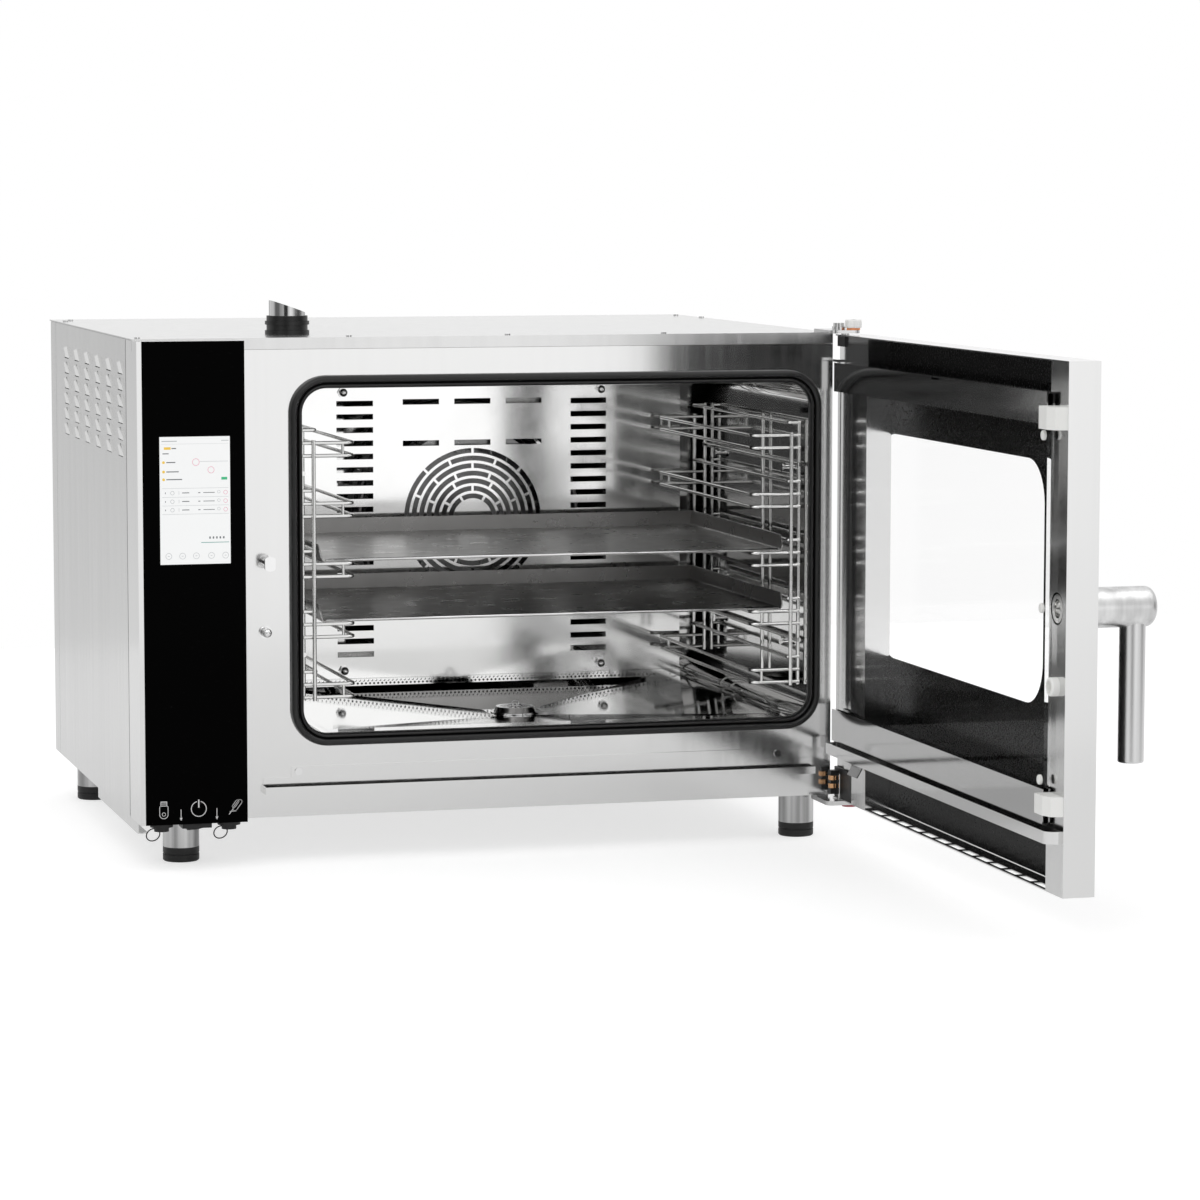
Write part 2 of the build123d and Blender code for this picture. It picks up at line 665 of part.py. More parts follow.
# Wire racks: two runner wires and a guard wire to a level, welded to posts and hooked over the cavity studs
for rack_name, wall_x, inward in (("left", cavity_left, 1), ("right", cavity_right, -1)):
    post_x = wall_x + inward * post_inset
    wall_post_x = wall_x + inward * wall_post_inset
    runner_x = wall_x + inward * runner_inset
    guard_x = wall_x + inward * guard_inset
    tie_x = runner_x - inward * 13.5
    post_offset = rack_wire + rack_post - weld_overlap
    lowest = top_level - (level_count - 1) * level_pitch - pair_gap
    wall_post_z = (lowest - 4, top_level + guard_rise + 3)
    with BuildPart() as side_rack:
        for number in range(level_count):
            upper = top_level - number * level_pitch
            wires = (
                (upper + guard_rise, guard_x, guard_bend),
                (upper, runner_x, runner_bend),
                (upper - pair_gap, runner_x, runner_bend),
            )
            for height, reach_x, bend in wires:
                with BuildLine() as wire_line:
                    FilletPolyline(
                        (wall_post_x - inward * weld_pass, rack_front, base + height),
                        (reach_x, rack_front, base + height),
                        (reach_x, rack_back, base + height),
                        (wall_post_x - inward * weld_pass, rack_back, base + height),
                        radius=bend,
                    )
                with BuildSketch(Plane(origin=wire_line.line @ 0, z_dir=wire_line.line % 0)):
                    Circle(rack_wire)
                sweep(path=wire_line.line)
            for y in (rack_front, rack_back):
                tie_z = (upper - pair_gap - weld_pass, upper + weld_pass)
                upright(tie_x, y, tie_z, rack_wire - 0.4)
        for y in (rack_front - post_offset, rack_back + post_offset):
            upright(post_x, y, (lowest - 4, top_level + 4), rack_post)
        for y in (rack_front + post_offset, rack_middle, rack_back - post_offset):
            upright(wall_post_x, y, wall_post_z, rack_post)
        for height in (rail_low, rail_high):
            rail_y = (rack_front + post_offset - rail_over, rack_back - post_offset + rail_over)
            along_y(wall_post_x, rail_y, height, rack_rail)
    side_rack.part.label = f"side_rack_{rack_name}"
    export_step(side_rack.part, f"parts/side_rack_{rack_name}.step")

# Baking trays: flat sheet pans with bent sides, open at the front but for a low lip
tray_left = cavity_center_x - tray_width / 2
tray_right = cavity_center_x + tray_width / 2
tray_flat = (tray_left + tray_flare + tray_bend, tray_right - tray_flare - tray_bend)
for tray_name, tray_level in (("upper", tray_levels[0]), ("lower", tray_levels[1])):
    tray_low = top_level - tray_level * level_pitch + rack_wire + tray_lift
    tray_rim = tray_low + tray_height
    with BuildPart() as baking_tray:
        with BuildSketch(facing(tray_front)):
            with BuildLine():
                FilletPolyline(
                    (tray_left, tray_rim),
                    (tray_left + tray_flare, tray_low),
                    (tray_right - tray_flare, tray_low),
                    (tray_right, tray_rim),
                    radius=tray_bend,
                )
                Line((tray_right, tray_rim), (tray_left, tray_rim))
            make_face()
        extrude(amount=-tray_depth)
        open_top = baking_tray.faces().sort_by(Axis.Z)[-1]
        open_front = baking_tray.faces().sort_by(Axis.Y)[0]
        offset(amount=-tray_sheet, openings=[open_top, open_front])
        block(tray_flat, (tray_front, tray_front + tray_sheet), (tray_low, tray_low + tray_sheet + tray_lip))
        with BuildSketch(beside(tray_left - 1)):
            with BuildLine():
                Polyline(
                    (tray_front - 1, tray_low + tray_cheek),
                    (tray_front, tray_low + tray_cheek),
                    (tray_front + tray_slant, tray_rim + 1),
                    (tray_front - 1, tray_rim + 1),
                    close=True,
                )
            make_face()
        extrude(amount=tray_width + 2, mode=Mode.SUBTRACT)
    baking_tray.part.label = f"{tray_name}_tray"
    export_step(baking_tray.part, f"parts/{tray_name}_tray.step")

# Drain strainer: a pierced dome on a flat rim, with a small lifting ring
strainer_rim = 32.5
strainer_seat = drain_level + 0.2
with BuildPart() as drain_strainer:
    upright(drain_x, drain_y, (strainer_seat, strainer_seat + 1.2), strainer_rim)
    with BuildSketch(level(strainer_seat + 1)):
        with Locations((drain_x, drain_y)):
            Circle(strainer_rim - 4)
    extrude(amount=7, taper=25)
    with BuildSketch(level(strainer_seat - 0.1)):
        with Locations((drain_x, drain_y)):
            Circle(strainer_rim - 6)
    extrude(amount=6.8, taper=25, mode=Mode.SUBTRACT)
    with BuildSketch(level(strainer_seat)):
        with Locations((drain_x, drain_y)):
            with PolarLocations(14, 14):
                SlotOverall(14, 2.6)
    extrude(amount=10, mode=Mode.SUBTRACT)
    with Locations(Location((drain_x, drain_y, base + strainer_seat + 11), (90, 0, 0))):
        Torus(4.5, 1.1)
drain_strainer.part.label = "drain_strainer"
export_step(drain_strainer.part, "parts/drain_strainer.step")

# Drain pipe from the sump to the back
with BuildPart() as drain_pipe:
    with BuildLine() as drain_line:
        FilletPolyline(
            (drain_x, drain_y, base + sump_low - 2),
            (drain_x, drain_y, base + drain_pipe_axis),
            (drain_x, body_depth + drain_pipe_end, base + drain_pipe_axis),
            radius=drain_pipe_radius + 2,
        )
    with BuildSketch(Plane(origin=drain_line.line @ 0, z_dir=drain_line.line % 0)):
        Circle(drain_pipe_radius)
        Circle(drain_pipe_radius - tube_wall, mode=Mode.SUBTRACT)
    sweep(path=drain_line.line)
    socket_y = (body_depth + 1, body_depth + drain_pipe_end)
    along_y(drain_x, socket_y, drain_pipe_axis, drain_pipe_radius + 1)
    pipe_end_y = (body_depth, body_depth + drain_pipe_end + 1)
    along_y(drain_x, pipe_end_y, drain_pipe_axis, drain_pipe_radius - tube_wall, Mode.SUBTRACT)
drain_pipe.part.label = "drain_pipe"
export_step(drain_pipe.part, "parts/drain_pipe.step")

# Vent pipe: duct box on the cavity roof and the chimney with its slanting end
with BuildPart() as vent_pipe:
    block((duct_left, duct_right), (duct_front, duct_back), (duct_low, duct_high))
    upright(vent_x, vent_y, (duct_high - 1, body_height + vent_height), vent_radius)
    inner_x = (duct_left + tube_wall, duct_right - tube_wall)
    inner_y = (duct_front + tube_wall, duct_back - tube_wall)
    block(inner_x, inner_y, (duct_low + tube_wall, duct_high - tube_wall), Mode.SUBTRACT)
    upright(vent_x, vent_y, (duct_low + 3, body_height + vent_height + 1), vent_radius - tube_wall, Mode.SUBTRACT)
    block(*vent_slot, (duct_low - 1, duct_low + 3), Mode.SUBTRACT)
    cut_low = body_height + vent_height - 15
    with BuildSketch(facing(vent_y - vent_radius - 1)):
        with BuildLine():
            Polyline(
                (vent_x - vent_radius - 1, cut_low + 15.7),
                (vent_x + vent_radius + 1, cut_low - 0.7),
                (vent_x + vent_radius + 1, cut_low + 20),
                (vent_x - vent_radius - 1, cut_low + 20),
                close=True,
            )
        make_face()
    extrude(amount=-2 * vent_radius - 2, mode=Mode.SUBTRACT)
vent_pipe.part.label = "vent_pipe"
export_step(vent_pipe.part, "parts/vent_pipe.step")

# Rubber collar that seals the vent pipe to the top cover
collar_radius = 27.5
with BuildPart() as vent_collar:
    upright(vent_x, vent_y, (body_height, body_height + 23), collar_radius - 2)
    upright(vent_x, vent_y, (body_height, body_height + 5), collar_radius)
    upright(vent_x, vent_y, (body_height + 12, body_height + 16.5), collar_radius)
    upright(vent_x, vent_y, (body_height - 1, body_height + 24), vent_radius + 0.2, Mode.SUBTRACT)
vent_collar.part.label = "vent_collar"
export_step(vent_collar.part, "parts/vent_collar.step")

# Door gasket around the cavity mouth
with BuildPart() as door_gasket:
    with BuildSketch(facing(0)):
        with Locations((cavity_center_x, cavity_center_z)):
            gasket_corner = cavity_corner + gasket_width
            RectangleRounded(cavity_width + 2 * gasket_width, cavity_height + 2 * gasket_width, gasket_corner)
            RectangleRounded(cavity_width, cavity_height, cavity_corner, mode=Mode.SUBTRACT)
    extrude(amount=gasket_height)
    front_face = door_gasket.faces().sort_by(Axis.Y)[0]
    fillet(front_face.edges(), 5)
door_gasket.part.label = "door_gasket"
export_step(door_gasket.part, "parts/door_gasket.step")

# Control column housing
panel_back = -column_reach + panel_glass
housing_front = panel_back + seat_gap
side_back_top = front_top
port_wall = (1.0, 1.0 + sheet)
rocker_slot = (29.0, 24.0)
with BuildPart() as control_housing:
    block((column_left, column_left + sheet), (-column_reach, column_side_depth), (1, side_top))
    block((column_left, column_left + column_edge), (-column_reach, -column_reach + sheet), (1, side_top))
    flange_z = (sheet + seat_gap, side_top)
    block((column_left, column_left + flange), (column_side_depth - sheet, column_side_depth), flange_z)
    block((column_right - sheet, column_right), (housing_front, -seat_gap), (1, side_top))
    block((column_left, column_right), (housing_front, -seat_gap), (side_top - sheet, side_top))
    block((column_left, column_right), (housing_front, -seat_gap), port_wall)
    block(
        (column_left - 1, column_right + 1),
        (-seat_gap, sheet + seat_gap),
        (front_top, body_height),
        Mode.SUBTRACT,
    )
    for x in port_places.values():
        upright(x, port_y, (0, 4), port_radius + 1.3, Mode.SUBTRACT)
    block(
        (rocker_x - rocker_slot[0] / 2, rocker_x + rocker_slot[0] / 2),
        (port_y - rocker_slot[1] / 2, port_y + rocker_slot[1] / 2),
        (0, 4),
        Mode.SUBTRACT,
    )
control_housing.part.label = "control_housing"
export_step(control_housing.part, "parts/control_housing.step")

# Black glass front of the control column
screen_gap = 0.2
with BuildPart() as control_glass:
    glass_x = (column_left + column_edge + seat_gap, column_right)
    block(glass_x, (-column_reach, panel_back), (1, side_top))
    block(
        (screen_x - screen_width / 2 - screen_gap, screen_x + screen_width / 2 + screen_gap),
        (-column_reach - 1, panel_back + 1),
        (screen_z - screen_height / 2 - screen_gap, screen_z + screen_height / 2 + screen_gap),
        Mode.SUBTRACT,
    )
control_glass.part.label = "control_glass"
export_step(control_glass.part, "parts/control_glass.step")

# Touch display: lit face in the glass, its case behind
display_back = panel_back + 8
with BuildPart() as touch_display:
    display_x = (screen_x - screen_width / 2, screen_x + screen_width / 2)
    display_z = (screen_z - screen_height / 2, screen_z + screen_height / 2)
    block(display_x, (-column_reach + 0.2, display_back), display_z)
    case_x = (display_x[0] - 6, display_x[1] + 6)
    case_z = (display_z[0] - 8, display_z[1] + 8)
    block(case_x, (panel_back + seat_gap, display_back), case_z)
touch_display.part.label = "touch_display"
export_step(touch_display.part, "parts/touch_display.step")

# Circuit boards: the control board behind the display and the power board on the partition
board = 1.6
with BuildPart() as circuit_boards:
    block(case_x, (display_back + 4, display_back + 4 + board), case_z)
    for sx in (-1, 1):
        for sz in (-1, 1):
            post_at = (screen_x + sx * 40, screen_z + sz * 70)
            along_y(post_at[0], (display_back + 0.1, display_back + 4.5), post_at[1], 2.5)
    block((screen_x - 20, screen_x + 10), (display_back + 5.5, display_back + 9), (screen_z - 15, screen_z + 15))
    board_x = partition_x - sheet - 10
    block((board_x - board, board_x), (120, 340), (200, 420))
    for y in (130, 330):
        for z in (210, 410):
            along_x((board_x - 0.5, partition_x - sheet - 0.1), y, z, 3)
    for number in range(6):
        relay_y = 140 + number * 32
        block((board_x - board - 18, board_x - board + 0.2), (relay_y, relay_y + 24), (340, 372))
    block((board_x - board - 32, board_x - board + 0.2), (150, 230), (225, 300))
    for number in range(3):
        along_x((board_x - board - 25, board_x - board + 0.2), 260 + number * 26, 260, 10)
circuit_boards.part.label = "circuit_boards"
export_step(circuit_boards.part, "parts/circuit_boards.step")

# Sockets under the column: two round ports and the frame of the rocker switch
frame_outer = (36.0, 27.0)
frame_inner = (27.0, 21.0)
frame_wall = (28.6, 23.6)
frame_low = -5.0
rocker_axis = -2.0
rocker_pin = 1.5
rocker_tilt = 7.0
with BuildPart() as panel_sockets:
    for x in port_places.values():
        upright(x, port_y, (1 + sheet + 0.1, 22), port_radius + 3)
        upright(x, port_y, (1.2, 4), port_radius + 1)
        upright(x, port_y, (0, 20), port_radius, Mode.SUBTRACT)
    frame_x = (rocker_x - frame_outer[0] / 2, rocker_x + frame_outer[0] / 2)
    frame_y = (port_y - frame_outer[1] / 2, port_y + frame_outer[1] / 2)
    block(frame_x, frame_y, (frame_low, 0.9))
    skirt_x = (rocker_x - frame_wall[0] / 2, rocker_x + frame_wall[0] / 2)
    skirt_y = (port_y - frame_wall[1] / 2, port_y + frame_wall[1] / 2)
    block(skirt_x, skirt_y, (0, 22))
    well_x = (rocker_x - frame_inner[0] / 2, rocker_x + frame_inner[0] / 2)
    well_y = (port_y - frame_inner[1] / 2, port_y + frame_inner[1] / 2)
    block(well_x, well_y, (frame_low - 1, 20), Mode.SUBTRACT)
    along_y(rocker_x, (skirt_y[0] - 1, skirt_y[1] + 1), rocker_axis, rocker_pin + running_gap, Mode.SUBTRACT)
panel_sockets.part.label = "panel_sockets"
export_step(panel_sockets.part, "parts/panel_sockets.step")

# Rocker of the power switch
with BuildPart() as power_rocker:
    rocker_plane = Plane(
        origin=(rocker_x, port_y + frame_inner[1] / 2 - 0.4, base + rocker_axis),
        x_dir=(math.cos(math.radians(rocker_tilt)), 0, math.sin(math.radians(rocker_tilt))),
        z_dir=(0, -1, 0),
    )
    with BuildSketch(rocker_plane):
        with BuildLine():
            Polyline(
                (-12.3, -4.0),
                (0, -5.0),
                (12.3, -4.0),
                (12.3, 0.0),
                (7, 6.0),
                (-7, 6.0),
                (-12.3, 0.0),
                close=True,
            )
        make_face()
    extrude(amount=frame_inner[1] - 0.8)
    pin_y = (port_y - frame_wall[1] / 2, port_y + frame_wall[1] / 2)
    along_y(rocker_x, pin_y, rocker_axis, rocker_pin)
power_rocker.part.label = "power_rocker"
export_step(power_rocker.part, "parts/power_rocker.step")

# Caps of the two ports, each with a knob and a wire ring hanging from it
for port_name, port_x in port_places.items():
    with BuildPart() as port_cap:
        upright(port_x, port_y, (-cap_flange, 0.7), cap_radius)
        upright(port_x, port_y, (-cap_height, -cap_flange + 0.5), cap_knob)
        upright(port_x, port_y, (0, 16), port_radius - seat_gap)
        with Locations(Location((port_x - 10.5, port_y, base - cap_height - 4), (pull_tilt, -25, 0))):
            Torus(pull_radius, pull_wire)
    port_cap.part.label = f"{port_name}_port_cap"
    export_step(port_cap.part, f"parts/{port_name}_port_cap.step")

# Latch keeper on the front: a neck with a flattened head
keeper_head = 9.0
keeper_neck = 5.5
with BuildPart() as latch_keeper:
    along_y(keeper_x, (-3, 0), keeper_height, keeper_head)
    along_y(keeper_x, (-keeper_reach + 4, -1), keeper_height, keeper_neck)
    along_y(keeper_x, (-keeper_reach, -keeper_reach + 5), keeper_height, keeper_head)
    for side in (-1, 1):
        cut_x = keeper_x + side * (6.5 + 5)
        block(
            (cut_x - 5, cut_x + 5),
            (-keeper_reach - 1, -keeper_reach + 6),
            (keeper_height - 12, keeper_height + 12),
            Mode.SUBTRACT,
        )
latch_keeper.part.label = "latch_keeper"
export_step(latch_keeper.part, "parts/latch_keeper.step")

# Door switch: a fixed sleeve through the front and a sprung plunger with a ball end
plunger_rod = 3.0
plunger_ball = 6.0
plunger_ball_y = -10.5
with BuildPart() as door_switch:
    along_y(switch_x, (0, 22), switch_height, switch_tube)
    along_y(switch_x, (-1.2, 0), switch_height, switch_tube + 2)
    switch_body_x = (switch_x - 12, switch_x + 12)
    block(switch_body_x, (sheet + seat_gap, 36), (switch_height - 9, switch_height + 9))
    along_y(switch_x, (-2, 34), switch_height, plunger_rod + running_gap, Mode.SUBTRACT)
door_switch.part.label = "door_switch"
export_step(door_switch.part, "parts/door_switch.step")

with BuildPart() as switch_plunger:
    along_y(switch_x, (plunger_ball_y, 28), switch_height, plunger_rod)
    with Locations(Location((switch_x, plunger_ball_y, base + switch_height))):
        Sphere(plunger_ball)
switch_plunger.part.label = "switch_plunger"
export_step(switch_plunger.part, "parts/switch_plunger.step")

# Drip gutter along the bottom of the front
gutter_strip = (-253.0, 382.0)
gutter_ends = (-288.0, 420.0)
gutter_reach = 16.5
gutter_sheet = 1.2
gutter_high = 62.0
gutter_low = 30.0
gutter_screws = ((-244.0, 55.5), (378.0 - 4, 55.5))
with BuildPart() as front_gutter:
    with BuildSketch(beside(gutter_ends[0])):
        with BuildLine():
            Polyline(
                (0, gutter_high),
                (0, gutter_low),
                (-gutter_reach, gutter_low),
                (-gutter_reach, gutter_low + 9),
                (-gutter_reach + gutter_sheet, gutter_low + 9),
                (-gutter_reach + gutter_sheet, gutter_low + gutter_sheet),
                (-gutter_sheet, gutter_low + gutter_sheet),
                (-gutter_sheet, gutter_high),
                close=True,
            )
        make_face()
    extrude(amount=gutter_ends[1] - gutter_ends[0])
    with BuildSketch(facing(0)):
        for corner, inner in ((gutter_ends[0], gutter_strip[0]), (gutter_ends[1], gutter_strip[1])):
            with BuildLine():
                Polyline(
                    (corner, gutter_high - 13),
                    (inner, gutter_high - 13),
                    (inner, gutter_high + 1),
                    (corner, gutter_high + 1),
                    close=True,
                )
            make_face()
    extrude(amount=gutter_reach + 1, mode=Mode.SUBTRACT)
    with BuildSketch(level(gutter_low)):
        for end, inner in ((gutter_ends[0], 1), (gutter_ends[1], -1)):
            with BuildLine():
                Polyline(
                    (end, 0),
                    (end, -gutter_reach),
                    (end + inner * gutter_sheet, -gutter_reach),
                    (end + inner * gutter_sheet, 0),
                    close=True,
                )
            make_face()
    extrude(amount=9)
    for x, z in gutter_screws:
        along_y(x, (-3, 1), z, screw_hole, Mode.SUBTRACT)
front_gutter.part.label = "front_gutter"
export_step(front_gutter.part, "parts/front_gutter.step")

# Case screws: top, back, and the two of the gutter
with BuildPart() as case_screws:
    for x, y in top_screws:
        upright(x, y, (body_height, body_height + 2), screw_head)
        upright(x, y, (body_height - sheet, body_height + 1), screw_shank)
    for x, z in back_screws:
        along_y(x, (body_depth, body_depth + 2), z, screw_head)
        along_y(x, (rear_y, body_depth + 1), z, screw_shank)
    for x, z in gutter_screws:
        along_y(x, (-gutter_sheet - 1.4, -gutter_sheet), z, screw_head + 1)
        along_y(x, (-gutter_sheet - 1, 0), z, screw_shank)
case_screws.part.label = "case_screws"
export_step(case_screws.part, "parts/case_screws.step")

# Feet: fixed sleeves and screw-out adjusters
with BuildPart() as foot_sleeves:
    for x, y in foot_places.values():
        upright(x, y, (-foot_sleeve, 0), foot_radius)
        upright(x, y, (-foot_sleeve - 1, -4), foot_stem + running_gap, Mode.SUBTRACT)
foot_sleeves.part.label = "foot_sleeves"
export_step(foot_sleeves.part, "parts/foot_sleeves.step")

for foot_name, (x, y) in foot_places.items():
    with BuildPart() as foot_adjuster:
        upright(x, y, (-foot_height, -foot_sleeve), foot_radius)
        upright(x, y, (-foot_sleeve - 9.5, -foot_sleeve - 7.5), foot_radius + 1, Mode.SUBTRACT)
        upright(x, y, (-foot_sleeve - 10, -foot_sleeve - 7), foot_radius - 1.2)
        upright(x, y, (-foot_sleeve - 1, -7), foot_stem)
        chamfer(foot_adjuster.faces().sort_by(Axis.Z)[0].edges(), 1.5)
    foot_adjuster.part.label = f"foot_adjuster_{foot_name}"
    export_step(foot_adjuster.part, f"parts/foot_adjuster_{foot_name}.step")

# Water inlet valve with its threaded stub and the spray pipe to the fan
with BuildPart() as water_valve:
    block((inlet_x - 15, inlet_x + 15), (618, rear_y - 0.1), (inlet_height - 15, inlet_height + 15))
    upright(inlet_x, 645, (inlet_height + 14, inlet_height + 48), 12)
    along_y(inlet_x, (660, body_depth + 1.5), inlet_height, inlet_radius - 0.7)
    along_y(inlet_x, (body_depth + 1, body_depth + 15), inlet_height, inlet_radius)
    along_y(inlet_x, (650, body_depth + 16), inlet_height, 8, Mode.SUBTRACT)
    with BuildLine() as spray_line:
        FilletPolyline(
            (inlet_x, 619, base + inlet_height),
            (inlet_x, 600, base + inlet_height),
            (inlet_x, 600, base + 340),
            (5, 600, base + 340),
            (5, 527, base + 340),
            radius=12,
        )
    with BuildSketch(Plane(origin=spray_line.line @ 0, z_dir=spray_line.line % 0)):
        Circle(4)
    sweep(path=spray_line.line)
water_valve.part.label = "water_valve"
export_step(water_valve.part, "parts/water_valve.step")

# Cable gland
with BuildPart() as cable_gland:
    with BuildSketch(facing(body_depth + 6)):
        with Locations((gland_x, gland_height)):
            RegularPolygon(gland_radius + 2, 6)
    extrude(amount=6)
    along_y(gland_x, (body_depth + 5, body_depth + 22), gland_height, gland_radius - 2)
    along_y(gland_x, (rear_y - 12, body_depth + 1), gland_height, gland_radius - 4)
    with BuildSketch(facing(rear_y - 0.1)):
        with Locations((gland_x, gland_height)):
            RegularPolygon(gland_radius + 1, 6)
    extrude(amount=5)
    along_y(gland_x, (rear_y - 13, body_depth + 23), gland_height, cord_hole, Mode.SUBTRACT)
cable_gland.part.label = "cable_gland"
export_step(cable_gland.part, "parts/cable_gland.step")

# Cooling fan of the electronics: square frame and rotor
cooler_back = rear_y - 0.1
cooler_depth = 38.0
cooler_pin = 3.0
rotor_radius = 54.0
with BuildPart() as cooling_fan_frame:
    cooler_half = cooler_size / 2
    frame_x = (cooler_x - cooler_half, cooler_x + cooler_half)
    frame_z = (cooler_height - cooler_half, cooler_height + cooler_half)
    block(frame_x, (cooler_back - cooler_depth, cooler_back), frame_z)
    along_y(cooler_x, (cooler_back - cooler_depth - 1, cooler_back + 1), cooler_height, rotor_radius + 2, Mode.SUBTRACT)
    block((frame_x[0] + 1, frame_x[1] - 1), (cooler_back - 4, cooler_back), (cooler_height - 5, cooler_height + 5))
    along_y(cooler_x, (cooler_back - 6, cooler_back), cooler_height, 20)
    along_y(cooler_x, (cooler_back - 26, cooler_back), cooler_height, cooler_pin)
cooling_fan_frame.part.label = "cooling_fan_frame"
export_step(cooling_fan_frame.part, "parts/cooling_fan_frame.step")

with BuildPart() as cooling_fan_rotor:
    rotor_back = cooler_back - 6.3
    along_y(cooler_x, (rotor_back - 26, rotor_back), cooler_height, 20)
    with BuildSketch(facing(rotor_back - 4)):
        with Locations((cooler_x, cooler_height)):
            with PolarLocations(36, 7):
                Rectangle(35, 3, rotation=12)
    extrude(amount=18)
    along_y(cooler_x, (rotor_back - 21, rotor_back + 1), cooler_height, cooler_pin + running_gap, Mode.SUBTRACT)
cooling_fan_rotor.part.label = "cooling_fan_rotor"
export_step(cooling_fan_rotor.part, "parts/cooling_fan_rotor.step")

# Hinge brackets on the case, each with its pivot pin
bracket_x = (half_width - 17, pivot_x + 16)
bracket_front = pivot_y - 17
pin_rise = 30.0
stud_x = pivot_x + 8.5
stud_y = pivot_y - 7
lock_stud = 3.0
lock_nut = 7.0
with BuildPart() as hinge_brackets:
    arm_top = door_low - 0.6
    block(bracket_x, (bracket_front, 24), (arm_top - 5.4, arm_top))
    block((bracket_x[0], half_width - sheet - seat_gap), (sheet + seat_gap, 24), (arm_top, 0))
    upright(pivot_x, pivot_y, (arm_top - 1, pin_rise), pivot_pin)
    with BuildSketch(level(arm_top - 8.4)):
        with Locations((pivot_x + 7, bracket_front + 9)):
            RegularPolygon(7, 6)
    extrude(amount=3.2)
    block(bracket_x, (bracket_front, 24), (body_height, body_height + 4))
    upright(pivot_x, pivot_y, (door_top - 12, body_height + 1), pivot_pin)
    upright(pivot_x - 6, pivot_y + 7, (body_height + 3.5, body_height + 8), 8.5)
    upright(pivot_x - 6, pivot_y + 7, (body_height + 7.5, body_height + 12.5), 7)
    upright(stud_x, stud_y, (body_height + 3.5, body_height + 13), lock_stud)
    upright(stud_x, stud_y, (body_height + 4, body_height + 17), lock_nut)
    upright(stud_x, stud_y, (body_height + 13, body_height + 18), lock_stud, Mode.SUBTRACT)
    corners = hinge_brackets.edges().filter_by(Axis.Z).filter_by(lambda e: e.center().Y < bracket_front + 0.1)
    fillet(corners.filter_by(lambda e: abs(e.length - 5.4) < 0.1 or abs(e.length - 4) < 0.1), 9)
hinge_brackets.part.label = "hinge_brackets"
export_step(hinge_brackets.part, "parts/hinge_brackets.step")

# Door frame: free stile, stepped hinge stile, top rim and slotted bottom rail
door_sheet = 1.5
rail_v = (0.0, door_thick)
inner_u = (hinge_stile_u + hinge_stile, door_end - free_stile)
step_one = 3.0
step_two = 6.0
step_u = 40.0
web = (glass_back - 1.8, glass_back - seat_gap)
lower_block_top = 37.5
upper_block_low = door_top - 14
rim_low = door_top - door_sheet
sill_top = door_low + door_sheet
latch_hole = 18.0
with BuildPart() as door_frame:
    door_block((door_hinge_edge, door_end), rail_v, (rim_low, door_top))
    door_block((door_hinge_edge, door_end), rail_v, (door_low, sill_top))
    door_block((door_end - free_stile, door_end), (0, door_sheet), (door_low, door_top))
    door_block((door_end - door_sheet, door_end), (0, door_thick), (door_low, door_top))
    door_block((inner_u[1], inner_u[1] + door_sheet), (0, web[1]), (door_low, door_top))
    door_block((inner_u[1], door_end), web, (door_low, door_top))
    door_block((hinge_stile_u, inner_u[0]), (0, door_sheet), (door_low, door_top))
    door_block((inner_u[0] - door_sheet, inner_u[0]), (0, web[1]), (door_low, door_top))
    door_block((hinge_stile_u, hinge_stile_u + door_sheet), (0, step_one + door_sheet), (door_low, door_top))
    door_block((step_u, hinge_stile_u + door_sheet), (step_one, step_one + door_sheet), (door_low, door_top))
    door_block((step_u, step_u + door_sheet), (step_one, step_two + door_sheet), (door_low, door_top))
    door_block((door_hinge_edge, step_u), (step_two, step_two + door_sheet), (door_low, door_top))
    door_block((door_hinge_edge, door_hinge_edge + door_sheet), (step_two, door_thick), (door_low, door_top))
    door_block((door_hinge_edge, inner_u[0]), web, (door_low, door_top))
    notch_u = (door_hinge_edge + door_sheet, hinge_stile_u - 0.5)
    door_block(notch_u, (-1, web[0]), (sill_top, lower_block_top + 1), Mode.SUBTRACT)
    door_block((pin_u - 14, pin_u + 14), (-1, web[0]), (upper_block_low - 1, rim_low), Mode.SUBTRACT)
    upright(pivot_x, pivot_y, (door_low - 1, sill_top + 1), pivot_pin + 1, Mode.SUBTRACT)
    upright(pivot_x, pivot_y, (rim_low - 1, door_top + 1), pivot_pin + 1, Mode.SUBTRACT)
    along_x((door_x - 1, door_x + door_sheet + 1), -latch_u, keeper_height, latch_hole, Mode.SUBTRACT)
    along_x((door_x + web[0] - 1, door_x + web[1] + 1), -latch_u, keeper_height, 9, Mode.SUBTRACT)
    with BuildSketch(level(door_low)):
        with Locations((door_x + 9, -(inner_u[0] + inner_u[1]) / 2)):
            with GridLocations(1, vent_slot_pitch, 1, vent_slot_count):
                Rectangle(9, vent_slot_length)
    extrude(amount=door_sheet, mode=Mode.SUBTRACT)
    pivot_ear_z = (cavity_top + 26.5, cavity_top + 29.5)
    door_block((glass_hinge_u - 9, glass_hinge_u + 8), (glass_hinge_v - 5, step_two + 0.5), pivot_ear_z)
    upright(door_x + glass_hinge_v, -glass_hinge_u, (pivot_ear_z[0] - 7, pivot_ear_z[0] + 1), glass_pin)
door_frame.part.label = "door_frame"
export_step(door_frame.part, "parts/door_frame.step")

